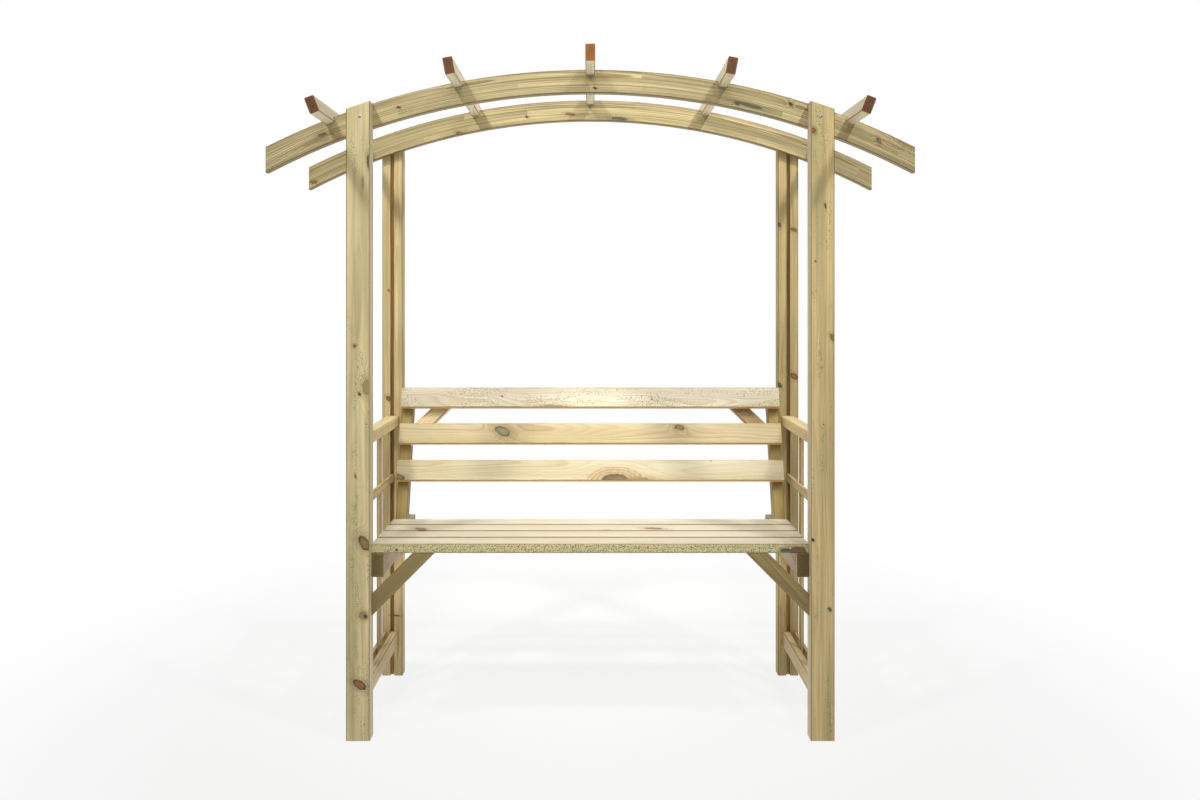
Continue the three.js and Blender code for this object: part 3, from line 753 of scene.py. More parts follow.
def prism(name, timber, outline, ends=None):
    """The outline carried along a board's line from one sawn plane to the other."""
    rings = []
    for point, normal in ends or timber.ends:
        ring = []
        for across, through in outline:
            start = timber.middle + timber.across * across + timber.through * through
            travel = (point - start).dot(normal) / timber.along.dot(normal)
            ring.append(start + timber.along * travel)
        rings.append(ring)
    return skin(name, rings)


print("outline points of a rounded board:", len(rounded(0.035, 0.014, 0.003)))

# %% Applying and carving


def settle(piece):
    """Applies the modifiers and leaves a plain mesh."""
    graph = bpy.context.evaluated_depsgraph_get()
    mesh = bpy.data.meshes.new_from_object(piece.evaluated_get(graph))
    piece.modifiers.clear()
    piece.data = mesh


def carve(piece, tool, operation="DIFFERENCE"):
    """Cuts the tool out of the piece, or joins the two, and takes the tool away."""
    change = piece.modifiers.new("carve", "BOOLEAN")
    change.object, change.operation, change.solver = tool, operation, "EXACT"
    settle(piece)
    bpy.data.objects.remove(tool)


print("pieces are carved with exact booleans")

# %% [markdown]
# ## Finishing a piece
#
# Every piece ends the same way. Its grain coordinates are stored on its vertices, its
# wide faces are kept flat while the small roundings shade smoothly, the solid that it
# stands for is hidden, and it hangs on the root body. Weighted normals do the flattening:
# the large face wins over the narrow strips of a rounded edge.

# %% Finishing a piece
SMOOTH_BELOW = math.radians(40)
FACING = 0.5


def flatten_faces(piece):
    """Shades the small roundings smoothly and keeps the wide faces flat."""
    piece.data.polygons.foreach_set("use_smooth", [True] * len(piece.data.polygons))
    piece.data.set_sharp_from_angle(angle=SMOOTH_BELOW)
    weighted = piece.modifiers.new("flat_faces", "WEIGHTED_NORMAL")
    weighted.keep_sharp = True
    settle(piece)


def lay_vectors(mesh, name, vectors):
    """Stores a vector for each point of a mesh."""
    layer = mesh.attributes.new(name, "FLOAT_VECTOR", "POINT")
    layer.data.foreach_set("vector", np.asarray(vectors, np.float32).ravel())


def lay_grain(piece, to_grain):
    """Stores each point's place in its own board, which the pine finish reads."""
    points = np.array([vertex.co for vertex in piece.data.vertices])
    lay_vectors(piece.data, "grain", to_grain(points))


def cover(piece, material, where=None):
    """Gives a finish to the whole piece, or to the faces that where() picks."""
    piece.data.materials.append(material)
    index = len(piece.data.materials) - 1
    for face in piece.data.polygons:
        if where is None or where(face):
            face.material_index = index


def hand_over(piece, slot, *nodes):
    """Hides the solids that a finished piece stands for and hangs the piece on the root body."""
    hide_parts(*nodes)
    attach(piece, ROOT)
    return piece


print("pieces are tied to body", ROOT)

# %% A whole board, with its knots
KNOT_INTO_BOARD = 0.5


def knot_shape(stretch, on_edge=False):
    """A knot's shape: drawn out along the grain, and running on into the board."""
    inward, sideways = KNOT_INTO_BOARD, 1.0
    return (inward, sideways, 1 / stretch) if on_edge else (sideways, inward, 1 / stretch)


def knots_on(timber, knots):
    """Knots given by a model point, as middles in the board's own coordinates."""
    made = []
    for point, size, stretch, kind in knots:
        centre = [float(c) for c in timber.to_grain([point])[0]]
        on_edge = abs(centre[0]) / timber.half[0] > abs(centre[1]) / timber.half[1]
        hand = -1 if timber.across.x < 0 else 1
        made.append((centre, size, knot_shape(stretch, on_edge), kind, hand))
    return made


boards = []


def board(node, along, across, edge, look, knots=(), section=rounded, ends=None, shape=None, **changes):
    """One straight board in place of its solid, finished all over."""
    boards.append(node)
    timber = Timber(node, along, across)
    outline = section(timber.half[0], timber.half[1], edge)
    piece = prism(f"{node}_wood", timber, outline, ends)
    if shape is not None:
        shape(piece, timber)
    flatten_faces(piece)
    lay_grain(piece, timber.to_grain)
    placed = knots_on(timber, knots)
    cover(piece, pine(f"pine_{node}", look, len(boards), timber.half, timber.along, placed, **changes))
    return hand_over(piece, f"{look}_wood", node), timber


print("boards so far:", len(boards))

# %% [markdown]
# ## Posts
#
# Four posts of 70 by 45 mm carry everything. A groove runs down the inward face of each
# and holds the rails' tongues, and the top is cut on the slope of the arch, with a housing
# where the arch is let in. The groove is simply part of the outline. The housing is cut
# with a thick copy of the arch's own band, so that the two can't disagree. The bottom of
# the groove is darker than the planed faces, and the sides that the front posts turn to
# each other are painted paler, as painted light from the lamp on the far side, so both
# get finishes of their own.

# %% The arch's band
ARCH_CENTRE = Vector((0, 0, -0.165))
ARCH_OUTER, ARCH_INNER = 2.134, 2.066
ARCH_HALF_SPAN = 0.96
ARCH_SIDES = 96


def arch_band(name, outline):
    """An outline of radius and depth swept round the arches' centre, cut upright at its ends."""
    rings = []
    for share in np.linspace(-1, 1, ARCH_SIDES + 1):
        ring = []
        for radius, depth in outline:
            turn = share * math.asin(ARCH_HALF_SPAN / radius)
            height = ARCH_CENTRE.z + radius * math.cos(turn)
            ring.append((radius * math.sin(turn), depth, height))
        rings.append(ring)
    return skin(name, rings, inside_out=True)


print("arch band:", ARCH_SIDES, "steps over", ARCH_HALF_SPAN * 2, "m")

# %% Knots and tones of the posts
# A knot of a post: its place in X and Z, its size, how far it is drawn out, and its kind
POST_KNOTS = {
    "front_post_left": [
        (-0.674, 1.013, 0.0038, 1.3, "dark"),
        (-0.646, 1.690, 0.006, 3.4, "green"),
        (-0.664, 1.633, 0.003, 5.0, "soft"),
        (-0.652, 1.034, 0.013, 1.7, "soft"),
        (-0.660, 0.578, 0.0150, 1.35, "brown"),
        (-0.663, 0.367, 0.0120, 0.9, "soft"),
        (-0.657, 0.364, 0.0038, 1.3, "dark"),
        (-0.674, 0.165, 0.0150, 1.05, "red"),
        (-0.686, 0.774, 0.0025, 2.4, "brown"),
        (-0.688, 1.154, 0.0042, 1.0, "swirl"),
    ],
    "front_post_right": [
        (0.6485, 1.784, 0.0085, 0.9, "ring"),
        (0.6485, 0.588, 0.0055, 1.0, "dark"),
        (0.6865, 1.563, 0.0030, 2.2, "green"),
        (0.6575, 1.401, 0.0025, 1.0, "dark"),
        (0.7085, 1.178, 0.007, 1.4, "brown"),
        (0.6990, 0.384, 0.0045, 1.2, "green"),
        (0.6815, 0.924, 0.0018, 1.0, "dark"),
    ],
    "rear_post_left": [
        (-0.692, 0.951, 0.008, 1.1, "red"),
        (-0.666, 0.206, 0.013, 0.22, "brown"),
        (-0.690, 1.320, 0.004, 1.0, "brown"),
    ],
    "rear_post_right": [
        (0.648, 1.546, 0.005, 1.4, "green"),
        (0.698, 1.529, 0.009, 0.7, "brown"),
        (0.699, 1.027, 0.011, 1.0, "red"),
        (0.650, 0.995, 0.006, 1.4, "green"),
    ],
}
POST_TONES = {
    "front_post_left": {
        "Pale": "#dccb9a", "Tint": "#b8aa7b", "Specks": 0.5, "Speck": "#5f7d66", "Rings": 0.35,
        "Streaks": 0.75, "Arris": "#775727", "Arris share": 0.85,
    },
    "front_post_right": {
        "Pale": "#d0b983", "Tint": "#b0a06e", "Specks": 0.5, "Speck": "#667a50", "Rings": 0.4,
        "Streaks": 0.75, "Arris": "#6f4d22", "Arris share": 0.85,
    },
    "rear_post_left": {"Pale": "#dac694", "Tint": "#c2af7d", "Streaks": 0.6},
    "rear_post_right": {"Pale": "#c2ad7b", "Tint": "#ad9c6c", "Streaks": 0.8, "Specks": 0.3},
}
GROOVE_TONES = {
    "left": {},
    "right": {"Pale": "#b89c5f", "Tint": "#947c47", "Dark": "#6e5930"},
}
# Painted light: a paler tone for the sides that the front posts turn to each other, standing for the
# far lamp's light on them
INWARD_PAINTED_LIGHT = {"Pale": "#dfd3b2", "Tint": "#cdc19c"}
print("knots of each post:", [len(knots) for knots in POST_KNOTS.values()])

# %% Groove and housing
GROOVE_HALF, GROOVE_DEPTH = 0.0067, 0.012
HOUSING_DEPTH = 0.012
FIT_GAP = 0.0003
OVERCUT, TOP_OVERCUT = 0.006, 0.05


def grooved(half_width, half_depth, edge):
    """The outline of a post, with the groove in the side that faces away from through."""
    outline = rounded(half_width, half_depth, edge)
    lower_left = 3 * (EDGE_STEPS + 1)
    outer, inner = -half_depth, GROOVE_DEPTH - half_depth
    notch = [(-GROOVE_HALF, outer), (-GROOVE_HALF, inner), (GROOVE_HALF, inner), (GROOVE_HALF, outer)]
    return outline[:lower_left] + notch + outline[lower_left:]


def housing(piece, timber):
    """Cuts the seat of the arch into the inward face of a post."""
    inward = -math.copysign(1, timber.through.y)
    floor_of_cut = timber.middle.y + inward * (timber.half[1] - HOUSING_DEPTH)
    open_side = timber.middle.y + inward * (timber.half[1] + OVERCUT)
    low, high = ARCH_INNER - FIT_GAP, ARCH_OUTER + TOP_OVERCUT
    near, far = sorted((floor_of_cut, open_side))
    carve(piece, arch_band("housing_cutter", [(low, near), (low, far), (high, far), (high, near)]))


print("groove depth:", GROOVE_DEPTH, "housing depth:", HOUSING_DEPTH)

# %% Posts
POST_EDGE = 0.0035
SEEN_FACES = {"front": -0.258, "rear": 0.213}
GROOVE_SEED, INWARD_SEED = 0.5, 0.25
NEAR = 0.0002

for end_name, end in ENDS.items():
    for side_name, side in SIDES.items():
        node = f"{end_name}_post_{side_name}"
        knots = [((x, SEEN_FACES[end_name], z), *rest) for x, z, *rest in POST_KNOTS[node]]
        post, timber = board(
            node, Z, X * end, POST_EDGE, "post", knots, grooved, shape=housing, **POST_TONES[node]
        )
        seed = len(boards) + GROOVE_SEED
        tones = GROOVE_TONES[side_name]
        groove_finish = pine(f"pine_{node}_groove", "groove", seed, timber.half, Z, **tones)

        def in_groove(face):
            across, through, _ = timber.to_grain([face.center])[0]
            deep_enough = through < GROOVE_DEPTH - timber.half[1] + NEAR
            return abs(across) < GROOVE_HALF + NEAR and deep_enough and abs(face.normal.z) < FACING

        cover(post, groove_finish, in_groove)
        if end_name == "front":
            # The inward side gets a paler copy of the post's finish: painted light from the far lamp
            seed = len(boards) + INWARD_SEED
            inward_painted_light = pine(f"pine_{node}_side", "post", seed, timber.half, Z, **INWARD_PAINTED_LIGHT)
            cover(post, inward_painted_light, lambda face: face.normal.x * side < -FACING)
print("posts made:", len(boards))

# %% [markdown]
# ## Arches
#
# The real arches are thin strips bent round a form and glued, which is why their grain
# follows the curve. Here the outline is swept round the arches' centre, and the grain
# coordinates are polar: depth along the radius, then across, then the length of the arc.
# The notches for the purlins are cut out afterwards, as they are in the workshop. Each
# arch has a seed of its own, picked so that its blocks fall about as pale as in the
# photograph.

# %% Polar grain, cutting blocks and directions
ARCH_MIDDLE = (ARCH_OUTER + ARCH_INNER) / 2


def along_arc(points):
    """Model points as depth along the radius and distance along the arc, plus their Y."""
    points = np.asarray(points)
    away = points[:, [0, 2]] - [ARCH_CENTRE.x, ARCH_CENTRE.z]
    arc = np.arctan2(away[:, 0], away[:, 1]) * ARCH_MIDDLE
    return np.stack([np.hypot(*away.T) - ARCH_MIDDLE, points[:, 1], arc], 1)


def box(name, centre, axes, half):
    """A cutting block with its middle at centre and its own axes."""
    corners = [(i, j, k) for i in (-1, 1) for j in (-1, 1) for k in (-1, 1)]
    steps = [[axis * h * sign for axis, h, sign in zip(axes, half, corner)] for corner in corners]
    faces = [(0, 1, 3, 2), (4, 6, 7, 5), (0, 4, 5, 1), (2, 3, 7, 6), (0, 2, 6, 4), (1, 5, 7, 3)]
    return solid(name, [centre + sum(step, Vector()) for step in steps], faces)


def radial(turn):
    """The direction out of the arches' centre, at a turn from upright."""
    return Vector((math.sin(turn), 0, math.cos(turn)))


def tangent(turn):
    """The direction along the arch at the same turn."""
    return Vector((math.cos(turn), 0, -math.sin(turn)))


print("the arches' middle line has a radius of", round(ARCH_MIDDLE, 3), "m")

# %% Knots of the arches
# A knot of an arch: its place in X and Z, its size, how far it is drawn out, and its kind
ARCH_KNOTS = {
    "front_arch": [
        (-0.792, 1.776, 0.0055, 2.6, "green"),
        (-0.815, 1.758, 0.0060, 6.0, "soft"),
        (-0.567, 1.857, 0.0035, 1.6, "dark"),
        (0.014, 1.914, 0.0035, 1.5, "dark"),
        (0.434, 1.869, 0.0045, 1.5, "dark"),
        (0.470, 1.864, 0.0042, 10.0, "green"),
        (0.593, 1.868, 0.0045, 1.2, "dark"),
        (0.853, 1.758, 0.0055, 1.5, "brown"),
        (0.935, 1.752, 0.0090, 2.6, "soft"),
    ],
    "rear_arch": [
        (-0.070, 1.922, 0.0045, 3.0, "red"),
        (0.101, 1.907, 0.0045, 6.0, "green"),
        (-0.216, 1.912, 0.0035, 1.4, "dark"),
        (-0.446, 1.857, 0.0055, 2.0, "red"),
        (-0.943, 1.690, 0.0060, 1.7, "red"),
    ],
}
print("knots of each arch:", [len(knots) for knots in ARCH_KNOTS.values()])

# %% Arches
ARCH_SEEDS = {"front": 47.9, "rear": 40.7}
ARCH_EDGE = 0.002
ARCH_FACES = (0.1967, 0.2247)
ARCH_MIDDLE_Y = sum(ARCH_FACES) / 2
ARCH_HALF_LENGTH = 1.0
PURLIN_TURNS = [math.radians(t) for t in (-21.25, -10.625, 0, 10.625, 21.25)]
PURLIN_HALF, PURLIN_HEIGHT, PURLIN_BOTTOM = 0.014, 0.048, 2.120
NOTCH_OVERCUT = 0.01

for end_name, end in ENDS.items():
    node = f"{end_name}_arch"
    middle_y = end * ARCH_MIDDLE_Y
    half = ((ARCH_OUTER - ARCH_INNER) / 2, (ARCH_FACES[1] - ARCH_FACES[0]) / 2)
    outline = [(ARCH_MIDDLE + a, middle_y + b) for a, b in rounded(*half, ARCH_EDGE)]
    arch = arch_band(f"{node}_wood", outline)
    low, high = PURLIN_BOTTOM - FIT_GAP, ARCH_OUTER + NOTCH_OVERCUT
    sizes = (PURLIN_HALF + FIT_GAP, half[1] + NOTCH_OVERCUT, (high - low) / 2)
    for turn in PURLIN_TURNS:
        centre = ARCH_CENTRE + radial(turn) * (low + high) / 2 + Y * middle_y
        carve(arch, box("notch_cutter", centre, (tangent(turn), Y, radial(turn)), sizes))
    flatten_faces(arch)

    def to_grain(points):
        return along_arc(points) - [0, middle_y, 0]

    lay_grain(arch, to_grain)
    camera_face = min(end * face for face in ARCH_FACES)
    knots = []
    for x, z, size, stretch, kind in ARCH_KNOTS[node]:
        centre = [float(c) for c in to_grain([(x, camera_face, z)])[0]]
        knots.append((centre, size, knot_shape(stretch), kind, 1))
    half_size = (*half, ARCH_HALF_LENGTH)
    cover(arch, pine(f"pine_{node}", "arch", ARCH_SEEDS[end_name], half_size, X, knots, glued=True))
    hand_over(arch, "arch_wood", node)
print("arches made, with", len(PURLIN_TURNS), "notches each")

# %% [markdown]
# ## Purlins
#
# Five square-cut purlins cross the arches, each square to the curve at its own place.
# Their sawn ends are the darkest wood of the whole seat: end grain has drunk the brown
# stain that the planed faces hardly took. The middle purlin's ends took less of it. The
# screw that holds each crossing is sunk a little below the purlin's top face, in a recess
# that is cut here.

# %% Recesses for screw heads
HEAD_RADIUS, HEAD_SINK, SHANK_RADIUS = 0.0045, 0.0005, 0.0023
PILOT_DEPTH, MOUTH_OVERCUT = 0.004, 0.002
RECESS_SIDES = 32


def turned(name, place, upward, profile):
    """A turned cutting tool: the profile of radius and height stands at place."""
    side = upward.orthogonal().normalized()
    other = upward.cross(side)
    rings = []
    for radius, height in profile:
        ring = []
        for turn in np.linspace(0, math.tau, RECESS_SIDES, endpoint=False):
            spoke = side * math.cos(turn) + other * math.sin(turn)
            ring.append(place + spoke * radius + upward * height)
        rings.append(ring)
    return skin(name, rings)


def sinking(driven_at):
    """A board's shape() that cuts a recess for each flat head driven in."""
    mouth = HEAD_RADIUS + NEAR
    depth = HEAD_SINK + mouth - SHANK_RADIUS
    profile = [
        (SHANK_RADIUS, -depth - PILOT_DEPTH), (SHANK_RADIUS, -depth), (mouth, -HEAD_SINK),
        (mouth, MOUTH_OVERCUT),
    ]

    def cut(piece, timber):
        for place, outward in driven_at:
            carve(piece, turned("recess_cutter", place, outward, profile))

    return cut


print("recesses sink the heads by", HEAD_SINK, "m")

# %% Purlins
PURLIN_EDGE = 0.0035
MIDDLE_ENDS = {"End": "#a2692f", "End core": "#8c5a2b"}
purlin_screws = []
for number, turn in enumerate(PURLIN_TURNS, 1):
    top = ARCH_CENTRE + radial(turn) * (PURLIN_BOTTOM + PURLIN_HEIGHT)
    screws_here = [(top + Y * end * ARCH_MIDDLE_Y, radial(turn)) for end in ENDS.values()]
    purlin_screws += screws_here
    ends = MIDDLE_ENDS if turn == 0 else {}
    board(
        f"purlin_{number}", Y, tangent(turn), PURLIN_EDGE, "purlin", shape=sinking(screws_here), **ends
    )
print("purlins made, with", len(purlin_screws), "recesses")

# %% [markdown]
# ## Seat
#
# Four slats lie on two bearers, and a brace at each front corner stops the frame from
# leaning. The tops are the palest wood because the light falls on them, but the front
# edge is rougher, greener and full of specks, as sawn wood is where the preservative has
# dried on it. It gets its own finish. The bearers' ends show dark under the seat.

# %% Seat slats
SLAT_EDGE, SEAT_EDGE_SEED = 0.003, 60
# A knot of a slat: its place, its size, how far it is drawn out, and its kind
SEAT_KNOTS = {
    1: [
        ((0.611, -0.238, 0.546), 0.0155, 1.65, "amber"),
        ((-0.570, -0.238, 0.553), 0.0030, 1.2, "dark"),
        ((0.572, -0.238, 0.552), 0.0045, 3.0, "green"),
    ],
    3: [
        ((-0.531, -0.064, 0.571), 0.0160, 1.15, "brown"),
        ((0.197, -0.055, 0.571), 0.0105, 2.7, "brown"),
        ((0.048, -0.068, 0.571), 0.0030, 4.5, "soft"),
    ],
}
for number in range(1, 5):
    knots = SEAT_KNOTS.get(number, [])
    slat, timber = board(f"seat_slat_{number}", X, Y, SLAT_EDGE, "seat", knots)
    look = "seat_edge" if number == 1 else "slat_edge"
    seed = SEAT_EDGE_SEED + number
    placed = knots_on(timber, knots)
    edge = pine(f"pine_seat_edge_{number}", look, seed, timber.half, X, placed)
    cover(slat, edge, lambda face: face.normal.y < -FACING)
print("seat slats made, boards so far:", len(boards))

# %% Seat bearers and braces
BEARER_EDGE, BRACE_EDGE = 0.004, 0.003
SEAT_SPAN, BEARER_WIDTH = 0.644, 0.036
BEARER_TOP, BEARER_BOTTOM = 0.543, 0.473
BEARER_MIDDLE_Z = (BEARER_TOP + BEARER_BOTTOM) / 2
BEARER_SCREW_Y = {"front": -0.2255, "rear": 0.2355}
BEARER_TONES = {"Pale": "#cfb796", "Tint": "#b59c78", "Dark": "#7d603c"}
BEARER_ENDS = {
    "left": {"End": "#7d6a35", "End core": "#58502c", "End share": 0.95, "Streaks": 0.8},
    "right": {"End": "#66501e", "End core": "#4a3a1a", "End share": 0.95, "Streaks": 0.8},
}
SEAT_BRACE_TONES = {"Pale": "#93814f", "Tint": "#837348", "Dark": "#62532c", "End": "#6a5634"}
bearer_screws = []
for side_name, side in SIDES.items():
    inner = side * (SEAT_SPAN - BEARER_WIDTH)
    screws_here = [(Vector((inner, BEARER_SCREW_Y[end], BEARER_MIDDLE_Z)), X * -side) for end in ENDS]
    bearer_screws += screws_here
    tones = {**BEARER_TONES, **BEARER_ENDS[side_name]}
    board(f"seat_bearer_{side_name}", Y, X, BEARER_EDGE, "rail", shape=sinking(screws_here), **tones)
    name, along, across = f"seat_brace_{side_name}", X * side - Z, X * side + Z
    board(name, along, across, BRACE_EDGE, "rail", **SEAT_BRACE_TONES)
print("seat made, boards so far:", len(boards))

# %% [markdown]
# ## Back
#
# The back is a frame of its own, leaned back by 17 degrees and standing on the bearers.
# Its three slats are the most figured wood in the photograph. The middle one has two
# oval knots, and the lowest has a large half-moon knot at its bottom edge with the grain
# flowing round it. The knots' places were read off the photograph. The slats' long edges
# are rounded more than the other boards', and their undersides are golden and painted
# paler, as painted light thrown up by the floor below.

# %% Back slats
RECLINE = math.radians(17)
BACK_TOP = Vector((0, 0.202, 0.990))
UP_BACK = Vector((0, math.sin(RECLINE), math.cos(RECLINE)))
BACK_EDGE, BACK_EDGE_SEED = 0.0055, 70
# A knot of the back: its place in X and Z, its size, how far it is drawn out, and its kind
BACK_KNOTS = {
    1: [
        (-0.122, 0.9245, 0.0070, 6.0, "soft"),
        (-0.300, 0.9600, 0.0020, 1.3, "green"),
        (0.210, 0.9500, 0.0022, 1.2, "green"),
    ],
    2: [
        (-0.295, 0.8465, 0.0145, 1.65, "grey"),
        (0.301, 0.8583, 0.0080, 2.0, "brown"),
    ],
    3: [
        (0.083, 0.6890, 0.0215, 2.05, "swirl"),
        (0.165, 0.6840, 0.0070, 6.0, "soft"),
        (-0.636, 0.7000, 0.0090, 2.2, "brown"),
        (0.402, 0.7520, 0.0020, 1.0, "red"),
    ],
}
BACK_TONES = {
    1: {
        "Pale": "#dcd3bd", "Tint": "#d1c6a8", "Dark": "#bb9c66", "Specks": 0.7, "Speck": "#86804e",
        "Wander": 0.085,
    },
    2: {"Pale": "#c3b48c", "Tint": "#b9a87c", "Dark": "#a68650"},
    3: {"Pale": "#d0c6a8", "Tint": "#c4b792", "Dark": "#b39562"},
}
# The undersides' tone: golden, and painted paler as painted light from the floor below
BACK_UNDERSIDE_TONE_AND_LIGHT = {"Pale": "#ecca8a", "Tint": "#dfbd7e", "Dark": "#b58d50", "Arris": "#a8782e"}


def on_back(x, z):
    """The point of the slats' front plane at a width and a height."""
    return BACK_TOP + UP_BACK * ((z - BACK_TOP.z) / UP_BACK.z) + X * x


for number in range(1, 4):
    knots = [(on_back(x, z), *rest) for x, z, *rest in BACK_KNOTS[number]]
    name, tones = f"back_slat_{number}", BACK_TONES[number]
    slat, timber = board(name, X, UP_BACK, BACK_EDGE, "back", knots, **tones)
    # The underside's finish carries painted light from below as well as its golden tone
    name, seed = f"pine_back_edge_{number}", BACK_EDGE_SEED + number
    edge = pine(name, "slat_edge", seed, timber.half, X, **BACK_UNDERSIDE_TONE_AND_LIGHT)
    cover(slat, edge, lambda face: face.normal.dot(UP_BACK) < -FACING)
print("back slats made, boards so far:", len(boards))

# %% Back stiles and braces
STILE_EDGE = 0.003
STILE_TONES = {"Pale": "#9f8b50", "Tint": "#8c7941"}
# The left brace is painted pale: painted light where the top slat's shadow falls on it. The right one
# keeps a darker, ringed tone of its own
BACK_BRACE_TONES_AND_LIGHT = {
    "left": {"Pale": "#f4e2b6", "Tint": "#e8d3a3"},
    "right": {"Pale": "#c6ae7c", "Tint": "#a98f60", "Dark": "#77592e", "Rings": 1.0, "Streaks": 1.0},
}
STILE_SCREW_DROP = 0.060
STILE_FRONT, STILE_DEPTH = 0.0283, 0.045
backward = X.cross(UP_BACK) * -1
stile_line = BACK_TOP + backward * (STILE_FRONT + STILE_DEPTH / 2) - UP_BACK * STILE_SCREW_DROP
stile_screws = []
for side_name, side in SIDES.items():
    screws_here = [(stile_line + X * side * (SEAT_SPAN - BEARER_WIDTH), X * -side)]
    stile_screws += screws_here
    name, sunk_in = f"back_stile_{side_name}", sinking(screws_here)
    board(name, UP_BACK, X, STILE_EDGE, "rail", shape=sunk_in, **STILE_TONES)
    name, along, across = f"back_brace_{side_name}", X * side - UP_BACK, X * side + UP_BACK
    board(name, along, across, BRACE_EDGE, "rail", **BACK_BRACE_TONES_AND_LIGHT[side_name])
print("back made, boards so far:", len(boards))

# %% [markdown]
# ## Side panels
#
# Between the posts of each side run an armrest, a middle rail and a bottom rail. Their
# ends are tongues that stand in the posts' grooves, so the rails need no screws. Two
# upright slats lie against their outer face, clamped at the foot by a thin batten. Where
# a rail is thicker than its tongue, the two parts are joined into one board.

# %% Side panels
POST_FACE, POST_MIDDLE = 0.213, 0.679
TONGUE_HALF, TONGUE_END, TONGUE_GAP = 0.0063, 0.2247, 0.0004
ARMREST_EDGE, BOTTOM_RAIL_EDGE, THIN_EDGE = 0.006, 0.003, 0.002
ARMREST_TONES = {"Pale": "#ddc999", "Tint": "#cbb787"}
BOTTOM_RAIL_TONES = {"Pale": "#e6cf9e", "Tint": "#d2bb8b"}


def add_tongues(piece, timber):
    """Lengthens a rail at both ends by the tongues that stand in the grooves."""
    middle = Vector((math.copysign(POST_MIDDLE, timber.middle.x), 0, timber.middle.z))
    sizes = (TONGUE_HALF, TONGUE_END, timber.half[1] - TONGUE_GAP)
    carve(piece, box("tongue", middle, (X, Y, Z), sizes), "UNION")


shouldered = {
    "ends": [(Vector((0, -POST_FACE, 0)), -Y), (Vector((0, POST_FACE, 0)), Y)],
    "shape": add_tongues,
}
for side_name in SIDES:
    board(f"armrest_{side_name}", Y, X, ARMREST_EDGE, "rail", **shouldered, **ARMREST_TONES)
    name = f"bottom_rail_{side_name}"
    board(name, Y, X, BOTTOM_RAIL_EDGE, "rail", **shouldered, **BOTTOM_RAIL_TONES)
    board(f"middle_rail_{side_name}", Y, X, THIN_EDGE, "rail")
    board(f"foot_batten_{side_name}", Y, X, THIN_EDGE, "rail")
    for number in (1, 2):
        board(f"side_slat_{side_name}_{number}", Z, Y, THIN_EDGE, "rail")
print("boards made:", len(boards))

# %% [markdown]
# ## Screws
#
# All the screws are one design, so Geometry Nodes draws it once and sets it on points. A
# ball is turned into the screw: each of its rings slides to its place on the profile, so
# that the top becomes the domed head and the rest the cone, the shank and the point. The
# cross for the driver is then cut out. Each set of screws gives its own length and head
# height: nearly flat where the head is sunk in wood, domed where it stands on a post.

# %% Zinc-plated steel
STEEL_TONES = ("#78828e", "#a9b0b6")
DULL_SCALE, SCRATCH_SCALE = 900.0, 3000.0
STEEL_RELIEF = (0.3, 0.0001)
STEEL_METALLIC, STEEL_ROUGHNESS, SCRATCH_ROUGHNESS = 0.9, 0.25, 0.3

steel = bpy.data.materials.new("zinc_steel")
write = blank(steel)
place = write.node("ShaderNodeTexCoord").outputs["Object"]
dull = write.noise(write.scaled(place, DULL_SCALE), 3.0)
scratches = write.noise(write.scaled(place, SCRATCH_SCALE), 2.0)
finish = {
    "Metallic": STEEL_METALLIC, "Base Color": write.mix(dull, *map(linear, STEEL_TONES)),
    "Roughness": write.times_plus(scratches, SCRATCH_ROUGHNESS, STEEL_ROUGHNESS),
    "Normal": write.relief(scratches, *STEEL_RELIEF),
}
metal = write.node("ShaderNodeBsdfPrincipled", named=finish)
write.node("ShaderNodeOutputMaterial", metal.outputs["BSDF"])
print("finish:", steel.name)

# %% The screw, drawn with nodes
design = bpy.data.node_groups.new("screw", "GeometryNodeTree")
design.interface.new_socket("Geometry", in_out="INPUT", socket_type="NodeSocketGeometry")
for name, value in {
    "Head radius": HEAD_RADIUS, "Head height": 0.0003, "Length": 0.059,
    "Shank radius": SHANK_RADIUS, "Recess": 0.0045,
}.items():
    socket = design.interface.new_socket(name, in_out="INPUT", socket_type="NodeSocketFloat")
    socket.default_value = value
design.interface.new_socket("Geometry", in_out="OUTPUT", socket_type="NodeSocketGeometry")
write = Writer(design)
given = write.node("NodeGroupInput").outputs
radius, shank = given["Head radius"], given["Shank radius"]

# Which share of the ball, from its top down, becomes the head, the cone and the shank
BALL_SIDES, BALL_RINGS = 32, 16
HEAD_END, CONE_END, SHANK_END = 0.25, 0.3125, 0.9375
ball = write.node("GeometryNodeMeshUVSphere", BALL_SIDES, BALL_RINGS, 1.0).outputs["Mesh"]
at = write.parts(write.node("GeometryNodeInputPosition").outputs[0])
fall = write.math("DIVIDE", write.math("ARCCOSINE", at["Z"]), math.pi)


def between(low, high, first, last):
    """Runs from first to last while the fall from the ball's top runs from low to high."""
    return write.node("ShaderNodeMapRange", fall, low, high, first, last).outputs["Result"]


